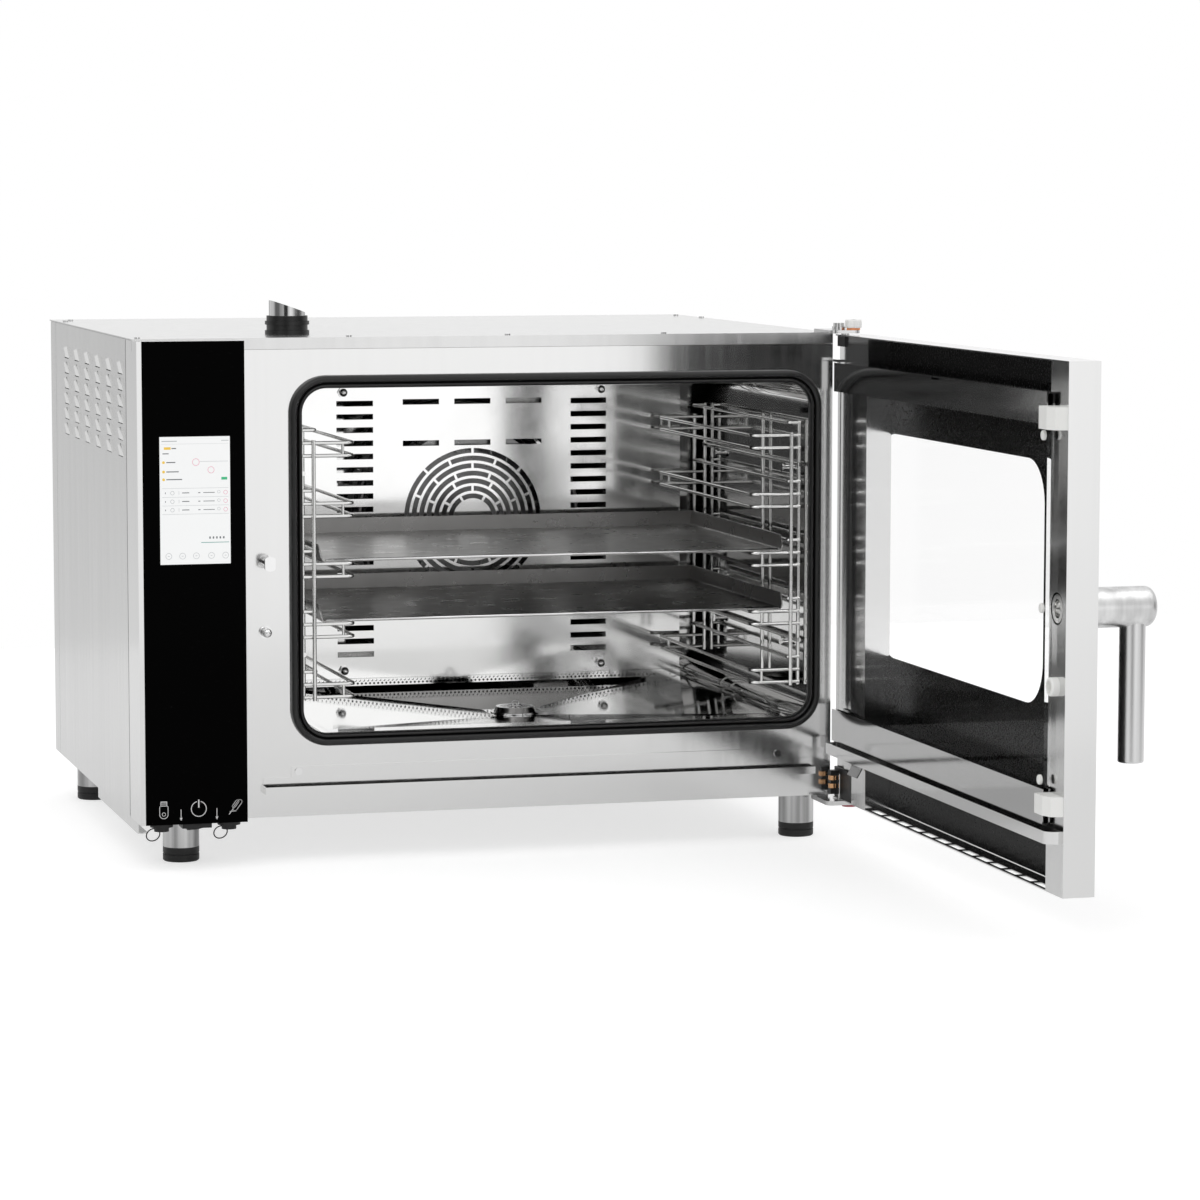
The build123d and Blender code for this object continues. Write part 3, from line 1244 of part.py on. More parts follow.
# Outer pane of the door
glass_u = (door_hinge_edge + door_sheet + seat_gap, door_end - door_sheet - seat_gap)
glass_z = (sill_top + seat_gap, rim_low - seat_gap)
with BuildPart() as door_outer_glass:
    door_block(glass_u, (glass_back, glass_back + outer_glass), glass_z)
    along_x((door_x + glass_back - 1, door_x + door_thick + 1), -latch_u, keeper_height, 9, Mode.SUBTRACT)
door_outer_glass.part.label = "door_outer_glass"
export_step(door_outer_glass.part, "parts/door_outer_glass.step")

# Inner pane of the door and the steel holders on its edges
pane_u = (glass_hinge_u + 6, door_end - free_stile + 8)
pane_v = (-inner_glass_proud, -inner_glass_proud + inner_glass)
pane_z = (cavity_low - inner_glass_margin - 1.1, cavity_top + inner_glass_margin - 2.7)
holder_v = (pane_v[0] - holder_wall, -seat_gap)
holder_high = cavity_top + inner_glass_margin - 0.7
holder_low = pane_z[0] - 2.0
with BuildPart() as door_inner_glass:
    door_block(pane_u, pane_v, pane_z)
door_inner_glass.part.label = "door_inner_glass"
export_step(door_inner_glass.part, "parts/door_inner_glass.step")

slot_clear = 0.1
with BuildPart() as glass_holders:
    holder_u = (glass_hinge_u - 6, pane_u[1] + 0.5)
    door_block(holder_u, holder_v, (holder_high - holder_high_height, holder_high))
    door_block(holder_u, holder_v, (holder_low, holder_low + holder_low_height))
    slot_v = (pane_v[0] - slot_clear, pane_v[1] + slot_clear)
    slot_u = (pane_u[0] - slot_clear, pane_u[1] + 1)
    slot_high = (holder_high - holder_high_height - 1, pane_z[1] + slot_clear)
    slot_low = (pane_z[0] - slot_clear, holder_low + holder_low_height + 1)
    door_block(slot_u, slot_v, slot_high, Mode.SUBTRACT)
    door_block(slot_u, slot_v, slot_low, Mode.SUBTRACT)
    notch_center = (pane_u[0] + pane_u[1]) / 2
    holder_notch_u = (notch_center - 13, notch_center + 13)
    door_block(holder_notch_u, (holder_v[0] - 1, pane_v[0]), (holder_high - 4, holder_high + 1), Mode.SUBTRACT)
    pin_hole = glass_pin + running_gap
    upright(door_x + glass_hinge_v, -glass_hinge_u, (holder_high - 12, holder_high + 1), pin_hole, Mode.SUBTRACT)
    upright(door_x + glass_hinge_v, -glass_hinge_u, (holder_low - 1, holder_low + 12), pin_hole, Mode.SUBTRACT)
glass_holders.part.label = "glass_holders"
export_step(glass_holders.part, "parts/glass_holders.step")

# Drip tray of the door, with the lower pivot pin of the inner pane
drip_u = (glass_hinge_u - 3, door_end - 7)
drip_v = (-drip_tray_reach, 0.0)
drip_z = (drip_tray_low, drip_tray_low + drip_tray_height)
drip_sheet = 1.2
spout_u = (100.0, 136.0)
spout_low = 40.0
with BuildPart() as door_drip_tray:
    for inset, low, mode in ((0, drip_z[0], Mode.ADD), (drip_sheet, drip_z[0] + drip_sheet, Mode.SUBTRACT)):
        with BuildSketch(level(low)):
            with Locations((door_x + (drip_v[0] + drip_v[1]) / 2, -(drip_u[0] + drip_u[1]) / 2)):
                Rectangle(drip_tray_reach - 2 * inset, drip_u[1] - drip_u[0] - 2 * inset)
            fillet(vertices().group_by(Axis.Y)[0].sort_by(Axis.X)[0], drip_tray_corner - inset)
        extrude(amount=drip_tray_height, mode=mode)
    with BuildSketch(facing(-spout_u[1])):
        with BuildLine():
            Polyline(
                (door_x - 2.0, drip_z[0] + 0.5),
                (door_x - 3.6, drip_z[0] + 0.5),
                (door_x - 13.6, spout_low),
                (door_x - 12.0, spout_low),
                close=True,
            )
        make_face()
    extrude(amount=spout_u[0] - spout_u[1])
    upright(door_x + glass_hinge_v, -glass_hinge_u, (drip_z[0] + 0.5, holder_low - 0.3), glass_pin + 1.5)
    upright(door_x + glass_hinge_v, -glass_hinge_u, (drip_z[0] + 0.5, holder_low + 10), glass_pin)
door_drip_tray.part.label = "door_drip_tray"
export_step(door_drip_tray.part, "parts/door_drip_tray.step")

# Plastic clips that hold the free edge of the inner pane
clip_u = (pane_u[1] + 1.3, door_end - 1)
clip_reach = 18.0
clip_heights = ((holder_high - 40, holder_high - 15), (pane_z[0] + 12.7, pane_z[0] + 34.7))
with BuildPart() as glass_clips:
    for clip_low, clip_high in clip_heights:
        with BuildSketch(level(clip_low)):
            with BuildLine():
                Polyline(
                    (door_x, -clip_u[0]),
                    (door_x - clip_reach, -clip_u[0]),
                    (door_x - clip_reach, -clip_u[0] - 23),
                    (door_x - clip_reach + 5, -clip_u[1] + 4),
                    (door_x, -clip_u[1]),
                    close=True,
                )
            make_face()
        extrude(amount=clip_high - clip_low)
glass_clips.part.label = "glass_clips"
export_step(glass_clips.part, "parts/glass_clips.step")

# Three round bumpers stuck on the inner pane near its free edge
with BuildPart() as pane_bumpers:
    bumper_face = door_x + pane_v[0]
    for height in bumper_heights:
        along_x((bumper_face - bumper_height, bumper_face), -bumper_u, height, bumper_radius)
    fillet(pane_bumpers.faces().filter_by(Axis.X).group_by(Axis.X)[0].edges(), 1.5)
pane_bumpers.part.label = "pane_bumpers"
export_step(pane_bumpers.part, "parts/pane_bumpers.step")

# Striker of the door switch on the free stile: a round cup that takes the ball of the plunger
with BuildPart() as door_striker:
    along_x((door_x - striker_proud, door_x), -switch_u, switch_height, striker_radius)
    fillet(door_striker.faces().sort_by(Axis.X)[0].edges(), 2)
    cup_x = (door_x - striker_proud - 1, door_x - striker_floor)
    along_x(cup_x, -switch_u, switch_height, plunger_ball + 0.9, Mode.SUBTRACT)
door_striker.part.label = "door_striker"
export_step(door_striker.part, "parts/door_striker.step")

# Latch inside the free stile: fixed case and turning drum on the handle spindle
spindle = 7.0
drum_radius = 16.0
drum_v = (0.5, 12.5)
with BuildPart() as latch_case:
    case_v = (drum_v[1] + 0.5, web[0] - 0.2)
    door_block((inner_u[1] + 3, door_end - 4), case_v, (keeper_height - 30, keeper_height + 30))
    along_x((door_x + 12, door_x + 32), -latch_u, keeper_height, spindle + running_gap, Mode.SUBTRACT)
latch_case.part.label = "latch_case"
export_step(latch_case.part, "parts/latch_case.step")

spindle_end = door_thick + 24
with BuildPart() as latch_drum:
    along_x((door_x + drum_v[0], door_x + drum_v[1]), -latch_u, keeper_height, drum_radius)
    along_x((door_x + drum_v[1] - 1, door_x + spindle_end), -latch_u, keeper_height, spindle)
    along_x((door_x + 2.5, door_x + 10.5), -latch_u, keeper_height, 10.8, Mode.SUBTRACT)
    with BuildSketch(door_face(drum_v[0])):
        with Locations((latch_u, keeper_height)):
            Circle(10.4)
            Rectangle(16.4, 21, mode=Mode.INTERSECT)
    extrude(amount=-3, mode=Mode.SUBTRACT)
latch_drum.part.label = "latch_drum"
export_step(latch_drum.part, "parts/latch_drum.step")

# Door handle: round hub and hanging grip
hub_x = (door_x + door_thick + 0.7, door_x + door_thick + handle_hub_reach)
grip_x = door_x + door_thick + handle_grip_out
with BuildPart() as door_handle:
    along_x(hub_x, -latch_u, keeper_height, handle_hub)
    hub_end = door_handle.faces().sort_by(Axis.X)[-1]
    fillet(hub_end.edges(), 10)
    upright(grip_x, -latch_u, (handle_grip_low, keeper_height - 5), handle_grip)
    grip_end = door_handle.faces().sort_by(Axis.Z)[0]
    fillet(grip_end.edges(), 2)
    spindle_x = (hub_x[0] - 1, door_x + spindle_end + 0.3)
    along_x(spindle_x, -latch_u, keeper_height, spindle + running_gap, Mode.SUBTRACT)
door_handle.part.label = "door_handle"
export_step(door_handle.part, "parts/door_handle.step")

# Hinge blocks in the door: bearings of the pivot pins, with an ear for the rollers
roller_x = pivot_x - 10.5
roller_y = pivot_y + 6.5
roller_radius = 5.5
roller_pin = 2.0
roller_slots = ((11.4, 17.4), (21.6, 27.6))
with BuildPart() as hinge_blocks:
    lower_u = (notch_u[0] + 0.4, notch_u[1] - 0.4)
    door_block(lower_u, (1.5, web[0] - 0.2), (sill_top + 0.2, lower_block_top))
    block((roller_x - 4, door_x + 3), (roller_y - 5, roller_y + 5), (4, 34))
    for slot_low, slot_high in roller_slots:
        slot_x = (roller_x - 10, roller_x + roller_radius + 0.5)
        block(slot_x, (roller_y - 7, roller_y + 7), (slot_low, slot_high), Mode.SUBTRACT)
    upright(roller_x, roller_y, (5, 33), roller_pin)
    upright(pivot_x, pivot_y, (sill_top, pin_rise + 0.5), pivot_pin + running_gap, Mode.SUBTRACT)
    door_block((pin_u - 13.6, pin_u + 13.6), (0.2, web[0] - 0.2), (upper_block_low - 0.6, rim_low - 0.2))
    upright(pivot_x, pivot_y, (upper_block_low - 2, door_top), pivot_pin + running_gap, Mode.SUBTRACT)
hinge_blocks.part.label = "hinge_blocks"
export_step(hinge_blocks.part, "parts/hinge_blocks.step")

with BuildPart() as hinge_rollers:
    for slot_low, slot_high in roller_slots:
        upright(roller_x, roller_y, (slot_low + 0.2, slot_high - 0.2), roller_radius)
        upright(roller_x, roller_y, (slot_low, slot_high), roller_pin + 0.1, Mode.SUBTRACT)
hinge_rollers.part.label = "hinge_rollers"
export_step(hinge_rollers.part, "parts/hinge_rollers.step")
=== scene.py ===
import math

import bpy
import numpy as np
from mathutils import Matrix, Vector


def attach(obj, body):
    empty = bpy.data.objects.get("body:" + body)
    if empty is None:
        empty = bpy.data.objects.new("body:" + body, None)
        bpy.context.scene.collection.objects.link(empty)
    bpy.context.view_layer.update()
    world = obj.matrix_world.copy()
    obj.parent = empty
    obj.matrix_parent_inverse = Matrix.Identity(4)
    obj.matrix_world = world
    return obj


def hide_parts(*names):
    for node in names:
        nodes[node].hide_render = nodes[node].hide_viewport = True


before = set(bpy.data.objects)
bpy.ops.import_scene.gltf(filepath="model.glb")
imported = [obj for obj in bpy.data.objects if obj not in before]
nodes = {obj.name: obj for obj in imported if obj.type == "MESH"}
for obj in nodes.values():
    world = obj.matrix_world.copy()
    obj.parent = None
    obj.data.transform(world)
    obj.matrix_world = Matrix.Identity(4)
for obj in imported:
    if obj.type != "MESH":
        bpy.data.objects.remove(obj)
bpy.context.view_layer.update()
print("frame loaded", len(nodes))


# Camera

cameraSettings = {
    "place": (-1.256457, -5.009238, 0.847297),
    "yaw": 0.272,
    "pitch": 0.102,
    "roll": 0.001,
    "lens": 125.606,
}


def addCamera(s):
    yaw, pitch, roll = s["yaw"], s["pitch"], s["roll"]
    forward = Vector((math.sin(yaw) * math.cos(pitch), math.cos(yaw) * math.cos(pitch), -math.sin(pitch)))
    right = Vector((math.cos(yaw), -math.sin(yaw), 0.0))
    up = right.cross(forward)
    turnedRight = right * math.cos(roll) + up * math.sin(roll)
    turnedUp = up * math.cos(roll) - right * math.sin(roll)
    data = bpy.data.cameras.new("camera")
    data.sensor_width = 36.0
    data.sensor_fit = "HORIZONTAL"
    data.lens = s["lens"]
    data.clip_start = 0.05
    data.clip_end = 100.0
    camera = bpy.data.objects.new("camera", data)
    bpy.context.scene.collection.objects.link(camera)
    turn = Matrix((turnedRight, turnedUp, -forward)).transposed().to_4x4()
    camera.matrix_world = Matrix.Translation(s["place"]) @ turn
    bpy.context.scene.camera = camera


addCamera(cameraSettings)


# Studio light: a pale room with one dark corner, and two soft boxes

def linkNodes(tree, pairs):
    for start, end in pairs:
        tree.links.new(start, end)


# 1 for what the camera sees, straight or through glass, and 0 for all other rays
def seenRay(tree):
    path = tree.nodes.new("ShaderNodeLightPath")
    either = tree.nodes.new("ShaderNodeMath")
    either.operation = "MAXIMUM"
    linkNodes(tree, [
        (path.outputs["Is Camera Ray"], either.inputs[0]),
        (path.outputs["Is Transmission Ray"], either.inputs[1]),
    ])
    return either.outputs[0]


worldSettings = {
    "level": 0.95,
    "zones": (
        {"toward": (0.0, 0.0, 1.0), "strength": 1.2, "inner": 10.0, "outer": 80.0},
        {"toward": (0.28, -0.96, 0.05), "strength": 1.45, "inner": 7.0, "outer": 16.0},
        {"toward": (0.27, 0.96, 0.10), "strength": 1.25, "inner": 6.0, "outer": 18.0},
        {"toward": (-0.29, 0.96, 0.02), "strength": 0.6, "inner": 2.0, "outer": 11.0},
        {"toward": (-0.98, -0.2, 0.0), "strength": 0.35, "inner": 8.0, "outer": 24.0},
        {"toward": (0.96, -0.3, 0.0), "strength": 0.35, "inner": 8.0, "outer": 24.0},
        {"toward": (-0.32, -0.947, 0.0), "strength": 0.05, "inner": 8.0, "outer": 16.0},
    ),
}


# strength = level, eased to each zone's own strength as the ray nears that zone's direction
def addWorld(s):
    world = bpy.data.worlds.new("studio")
    bpy.context.scene.world = world
    world.use_nodes = True
    tree = world.node_tree
    tree.nodes.clear()
    out = tree.nodes.new("ShaderNodeOutputWorld")
    mix = tree.nodes.new("ShaderNodeMixShader")
    seen = tree.nodes.new("ShaderNodeBackground")
    seen.inputs["Color"].default_value = (1, 1, 1, 1)
    seen.inputs["Strength"].default_value = 1.0
    around = tree.nodes.new("ShaderNodeBackground")
    coord = tree.nodes.new("ShaderNodeTexCoord")
    strength = None
    for zone in s["zones"]:
        near = tree.nodes.new("ShaderNodeVectorMath")
        near.operation = "DOT_PRODUCT"
        near.inputs[1].default_value = Vector(zone["toward"]).normalized()
        ease = tree.nodes.new("ShaderNodeMapRange")
        ease.interpolation_type = "SMOOTHSTEP"
        ease.inputs["From Min"].default_value = math.cos(math.radians(zone["outer"]))
        ease.inputs["From Max"].default_value = math.cos(math.radians(zone["inner"]))
        blend = tree.nodes.new("ShaderNodeMix")
        blend.data_type = "FLOAT"
        blend.inputs["A"].default_value = s["level"]
        blend.inputs["B"].default_value = zone["strength"]
        if strength is not None:
            tree.links.new(strength, blend.inputs["A"])
        linkNodes(tree, [
            (coord.outputs["Generated"], near.inputs[0]),
            (near.outputs["Value"], ease.inputs["Value"]),
            (ease.outputs["Result"], blend.inputs["Factor"]),
        ])
        strength = blend.outputs["Result"]
    linkNodes(tree, [
        (strength, around.inputs["Strength"]),
        (seenRay(tree), mix.inputs["Fac"]),
        (around.outputs[0], mix.inputs[1]),
        (seen.outputs[0], mix.inputs[2]),
        (mix.outputs[0], out.inputs["Surface"]),
    ])


lampSettings = {
    "key_lamp": {"place": (-1.2, -2.2, 3.0), "aim": (0.1, 0.0, 0.3), "size": (2.6, 2.0), "power": 18},
    "fill_lamp": {"place": (2.0, -1.2, 3.0), "aim": (0.0, 0.2, 0.3), "size": (2.2, 2.0), "power": 10},
}


def addLamp(name, s):
    data = bpy.data.lights.new(name, "AREA")
    data.shape = "RECTANGLE"
    data.size, data.size_y = s["size"]
    data.energy = s["power"]
    lamp = bpy.data.objects.new(name, data)
    lamp.location = s["place"]
    lamp.rotation_mode = "QUATERNION"
    lamp.rotation_quaternion = (Vector(s["aim"]) - Vector(s["place"])).to_track_quat("-Z", "Y")
    bpy.context.scene.collection.objects.link(lamp)


addWorld(worldSettings)
for lampName, settings in lampSettings.items():
    addLamp(lampName, settings)
bpy.context.scene.view_settings.view_transform = "Standard"
print("camera and light done")


# Materials

def addNoise(tree, coord, scale, detail=3.0, rough=0.55, stretch=(1, 1, 1)):
    mapping = tree.nodes.new("ShaderNodeMapping")
    mapping.inputs["Scale"].default_value = stretch
    noise = tree.nodes.new("ShaderNodeTexNoise")
    noise.inputs["Scale"].default_value = scale
    noise.inputs["Detail"].default_value = detail
    noise.inputs["Roughness"].default_value = rough
    linkNodes(tree, [(coord, mapping.inputs["Vector"]), (mapping.outputs[0], noise.inputs["Vector"])])
    return noise.outputs["Fac"]


def addRange(tree, value, low, high, start=0.3, end=0.7):
    ramp = tree.nodes.new("ShaderNodeMapRange")
    ramp.inputs["From Min"].default_value = start
    ramp.inputs["From Max"].default_value = end
    ramp.inputs["To Min"].default_value = low
    ramp.inputs["To Max"].default_value = high
    tree.links.new(value, ramp.inputs["Value"])
    return ramp.outputs["Result"]


# a base finish, with its roughness, colour and surface each stirred by its own noise
def makeMaterial(name, s):
    material = bpy.data.materials.new(name)
    material.use_nodes = True
    tree = material.node_tree
    shader = tree.nodes["Principled BSDF"]
    color = s.get("color", (0.5, 0.5, 0.5))
    shader.inputs["Base Color"].default_value = (*color, 1.0)
    shader.inputs["Metallic"].default_value = s.get("metal", 0.0)
    shader.inputs["Roughness"].default_value = s.get("rough", 0.5)
    shader.inputs["IOR"].default_value = s.get("ior", 1.5)
    shader.inputs["Specular IOR Level"].default_value = s.get("specular", 0.5)
    shader.inputs["Transmission Weight"].default_value = s.get("clear", 0.0)
    coord = tree.nodes.new("ShaderNodeTexCoord").outputs["Object"]
    if "glow" in s:
        shader.inputs["Emission Color"].default_value = (*s["glow"], 1.0)
        shader.inputs["Emission Strength"].default_value = s.get("glowPower", 1.0)
    if "spread" in s:
        fine = addNoise(tree, coord, s.get("scale", 60.0), 4.0, 0.6, s.get("stretch", (1, 1, 1)))
        low = max(0.0, s["rough"] - s["spread"])
        tree.links.new(addRange(tree, fine, low, s["rough"] + s["spread"]), shader.inputs["Roughness"])
    # the second colour is a random tone in most finishes; in the handle, foot sleeves and vent pipe it is painted dark
    # reflection bands
    if "tint" in s:
        soft = addNoise(tree, coord, s.get("tintScale", 6.0), 3.0, 0.5, s.get("tintStretch", (1, 1, 1)))
        mix = tree.nodes.new("ShaderNodeMix")
        mix.data_type = "RGBA"
        mix.inputs["A"].default_value = (*color, 1.0)
        mix.inputs["B"].default_value = (*s["tint"], 1.0)
        linkNodes(tree, [
            (addRange(tree, soft, 0.0, 1.0), mix.inputs["Factor"]),
            (mix.outputs["Result"], shader.inputs["Base Color"]),
        ])
    if "bump" in s:
        grain = addNoise(tree, coord, s.get("bumpScale", 400.0), 3.0, 0.6, s.get("bumpStretch", (1, 1, 1)))
        bump = tree.nodes.new("ShaderNodeBump")
        bump.inputs["Strength"].default_value = s["bump"]
        bump.inputs["Distance"].default_value = s.get("bumpDepth", 0.0002)
        linkNodes(tree, [(grain, bump.inputs["Height"]), (bump.outputs["Normal"], shader.inputs["Normal"])])
    return material


materialSettings = {
    "front_steel": {
        "color": (0.76, 0.76, 0.755), "metal": 1.0, "rough": 0.13, "spread": 0.02, "scale": 90.0,
        "stretch": (1.0, 1.0, 0.02), "tint": (0.73, 0.73, 0.73), "tintScale": 2.0,
    },
    "case_steel": {
        "color": (0.72, 0.72, 0.715), "metal": 1.0, "rough": 0.22, "spread": 0.03, "scale": 80.0,
        "stretch": (1.0, 1.0, 0.03), "tint": (0.69, 0.69, 0.69), "tintScale": 1.5,
    },
    "cavity_steel": {
        "color": (0.84, 0.84, 0.835), "metal": 1.0, "rough": 0.06, "spread": 0.02, "scale": 25.0,
        "tint": (0.80, 0.80, 0.795), "tintScale": 3.0,
    },
    "baffle_steel": {
        "color": (0.90, 0.90, 0.895), "metal": 1.0, "rough": 0.10, "spread": 0.02, "scale": 25.0,
        "tint": (0.87, 0.87, 0.865), "tintScale": 3.0,
    },
    "polished_steel": {
        "color": (0.80, 0.80, 0.80), "metal": 1.0, "rough": 0.07, "spread": 0.02, "scale": 60.0,
    },
    "wire_steel": {
        "color": (0.80, 0.80, 0.79), "metal": 1.0, "rough": 0.12, "spread": 0.04, "scale": 120.0,
    },
    # the handle's dark second colour, stretched upright, is painted reflection bands of a polished handle
    "handle_steel_painted_bands": {
        "color": (0.82, 0.82, 0.82), "metal": 1.0, "rough": 0.30, "spread": 0.03, "scale": 200.0,
        "stretch": (1.0, 1.0, 0.05), "tint": (0.55, 0.55, 0.55), "tintScale": 80.0, "tintStretch": (1.0, 1.0, 0.01),
    },
    # the very dark second colour, stretched upright, is painted reflection bands on polished round sleeves and the
    # vent pipe
    "steel_painted_reflection_bands": {
        "color": (0.78, 0.78, 0.78), "metal": 1.0, "rough": 0.12, "spread": 0.03, "scale": 120.0,
        "stretch": (1.0, 1.0, 0.02), "tint": (0.16, 0.16, 0.16), "tintScale": 48.0, "tintStretch": (1.0, 1.0, 0.01),
    },
    "tray_metal": {
        "color": (0.34, 0.335, 0.33), "metal": 1.0, "rough": 0.30, "spread": 0.05, "scale": 30.0,
        "tint": (0.32, 0.315, 0.31), "tintScale": 5.0,
    },
    "holder_steel": {
        "color": (0.60, 0.60, 0.60), "metal": 1.0, "rough": 0.10, "spread": 0.03, "scale": 80.0,
        "stretch": (1, 0.03, 1),
    },
    "clear_glass": {"color": (1.0, 1.0, 1.0), "rough": 0.0, "clear": 1.0, "ior": 1.04},
    "outer_glass": {"color": (1.0, 1.0, 1.0), "rough": 0.0, "clear": 1.0, "ior": 1.05},
    "black_print": {
        "color": (0.003, 0.003, 0.003), "rough": 0.25, "spread": 0.05, "scale": 300.0, "specular": 0.06,
    },
    "panel_glass": {
        "color": (0.001, 0.001, 0.001), "rough": 0.05, "spread": 0.01, "scale": 15.0, "specular": 0.01,
    },
    "screen_face": {
        "color": (0.30, 0.30, 0.30), "rough": 0.15, "spread": 0.02, "scale": 30.0, "specular": 0.1,
        "glow": (0.97, 0.98, 0.98), "glowPower": 0.66,
    },
    "gasket_rubber": {
        "color": (0.006, 0.006, 0.006), "rough": 0.34, "spread": 0.06, "scale": 60.0, "specular": 0.45,
        "bump": 0.1, "bumpScale": 700.0,
    },
    "black_plastic": {
        "color": (0.014, 0.014, 0.014), "rough": 0.42, "spread": 0.08, "scale": 90.0, "specular": 0.35,
        "bump": 0.2, "bumpScale": 1500.0,
    },
    "white_plastic": {
        "color": (0.84, 0.84, 0.82), "rough": 0.35, "spread": 0.06, "scale": 120.0,
        "bump": 0.1, "bumpScale": 900.0,
    },
    "orange_plastic": {
        "color": (0.80, 0.28, 0.10), "rough": 0.4, "spread": 0.06, "scale": 200.0,
    },
    "red_fibre": {
        "color": (0.42, 0.09, 0.11), "rough": 0.55, "spread": 0.08, "scale": 300.0,
    },
    "bronze": {"color": (0.66, 0.38, 0.20), "metal": 1.0, "rough": 0.25, "spread": 0.08, "scale": 200.0},
    "wool": {
        "color": (0.52, 0.47, 0.33), "rough": 0.95, "tint": (0.40, 0.35, 0.22), "tintScale": 120.0,
        "bump": 0.8, "bumpScale": 300.0, "bumpDepth": 0.001,
    },
    "board_green": {
        "color": (0.02, 0.16, 0.06), "rough": 0.4, "tint": (0.03, 0.10, 0.05), "tintScale": 200.0,
    },
    "motor_paint": {
        "color": (0.10, 0.10, 0.105), "rough": 0.5, "spread": 0.1, "scale": 100.0,
        "bump": 0.2, "bumpScale": 600.0,
    },
    "fan_steel": {
        "color": (0.30, 0.30, 0.30), "metal": 1.0, "rough": 0.3, "spread": 0.05, "scale": 100.0,
    },
    "heater_steel": {
        "color": (0.36, 0.34, 0.33), "metal": 1.0, "rough": 0.35, "tint": (0.25, 0.24, 0.26), "tintScale": 40.0,
    },
}
materials = {name: makeMaterial(name, s) for name, s in materialSettings.items()}

nodeMaterials = {
    "front_steel": ["front_frame", "front_gutter", "door_frame", "control_housing", "door_drip_tray"],
    "case_steel": ["base_pan", "left_side_panel", "right_side_panel", "top_cover", "rear_panel", "hinge_brackets"],
    "cavity_steel": ["oven_cavity", "floor_grille"],
    "baffle_steel": ["fan_baffle"],
    # foot sleeves and vent pipe get painted dark reflection bands
    "steel_painted_reflection_bands": ["foot_sleeves", "vent_pipe"],
    "polished_steel": [
        "baffle_cap_nuts", "latch_keeper", "door_switch", "switch_plunger",
        "case_screws", "drain_strainer", "motor_shaft",
    ],
    "wire_steel": ["side_rack_left", "side_rack_right", "drain_pipe", "latch_drum", "latch_case"],
    # the door handle's finish carries painted reflection bands
    "handle_steel_painted_bands": ["door_handle"],
    "tray_metal": ["upper_tray", "lower_tray"],
    "holder_steel": ["glass_holders"],
    "clear_glass": ["door_inner_glass"],
    "outer_glass": ["door_outer_glass"],
    "panel_glass": ["control_glass"],
    "screen_face": ["touch_display"],
    "gasket_rubber": ["door_gasket", "vent_collar"],
    "black_plastic": [
        "foot_adjuster_front_left", "foot_adjuster_front_right", "foot_adjuster_back_left",
        "foot_adjuster_back_right", "hinge_blocks", "panel_sockets", "power_rocker", "usb_port_cap",
        "probe_port_cap", "cable_gland", "cooling_fan_frame", "cooling_fan_rotor",
    ],
    "white_plastic": ["glass_clips", "door_striker", "pane_bumpers"],
    "bronze": ["hinge_rollers", "water_valve"],
    "wool": ["insulation_blanket"],
    "board_green": ["circuit_boards"],
    "motor_paint": ["fan_motor"],
    "fan_steel": ["fan_wheel"],
    "heater_steel": ["heating_rings"],
}
for materialName, names in nodeMaterials.items():
    for nodeName in names:
        mesh = nodes[nodeName].data
        mesh.materials.clear()
        mesh.materials.append(materials[materialName])
print("materials done", len(materials))


# Helpers for new meshes: shapes are worked out in millimetres above the underside of the case

caseLow = 58.0


def addMesh(name, points, faces, materialName, body, smooth=False):
    points = (np.asarray(points, dtype=float) + (0.0, 0.0, caseLow)) / 1000
    mesh = bpy.data.meshes.new(name)
    mesh.from_pydata(points.tolist(), [], [list(f) for f in faces])
    mesh.update()
    if smooth:
        mesh.polygons.foreach_set("use_smooth", np.ones(len(mesh.polygons), dtype=bool))
    item = bpy.data.objects.new(name, mesh)
    bpy.context.scene.collection.objects.link(item)
    mesh.materials.append(materials[materialName])
    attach(item, body)
    return item


# a grid closed both ways: every cell is a face, and all are turned over if the volume comes out negative
def closedGrid(grid):
    rows, columns = grid.shape[:2]
    i, j = np.meshgrid(np.arange(rows), np.arange(columns), indexing="ij")
    k, m = (i + 1) % rows, (j + 1) % columns
    faces = np.stack([i * columns + j, k * columns + j, k * columns + m, i * columns + m], -1).reshape(-1, 4)
    points = grid.reshape(-1, 3)
    a, b, c, d = (points[faces[:, n]] for n in range(4))
    volume = (np.cross(a, b) * c).sum() + (np.cross(a, c) * d).sum()
    return points, faces if volume > 0 else faces[:, ::-1]


# a turned ring: each profile point (radius, height) goes round the axis, with lobes added to the outside
def addRing(name, s, materialName, body):
    profile = np.array(s["profile"], dtype=float)
    turn = np.linspace(0, 2 * math.pi, s.get("count", 60), endpoint=False)
    outside = (profile[:, 0] > profile[:, 0].min() + 0.5).astype(float)
    lobes = s.get("lobeDepth", 0.0) * np.cos(s.get("lobes", 0) * turn)[:, None] * outside
    radius = profile[None, :, 0] + lobes
    x = s["place"][0] + radius * np.cos(turn)[:, None]
    y = s["place"][1] + radius * np.sin(turn)[:, None]
    z = s["place"][2] + np.broadcast_to(profile[None, :, 1], x.shape)
    points, faces = closedGrid(np.stack([x, y, z], -1))
    return addMesh(name, points, faces, materialName, body)


# Door gasket: a section with two lips, carried round the mouth of the cavity

# mouth: (left, right, low, high) of the cavity's opening; the section is (reach out from the mouth, height)
gasketSettings = {
    "mouth": (-237.0, 413.0, 102.4, 525.7),
    "corner": 30.0,
    "cornerSteps": 17,
    "lipSteps": 13,
    "outerBase": ((15.8, 0.0), (15.9, 3.4)),
    "outerLip": {"middle": (11.0, 5.2), "size": (4.7, 6.1)},
    "groove": (6.1, 3.0),
    "innerLip": {"middle": (3.4, 5.6), "size": (2.5, 4.2)},
    "innerBase": ((0.3, 3.0), (0.4, 0.0)),
}


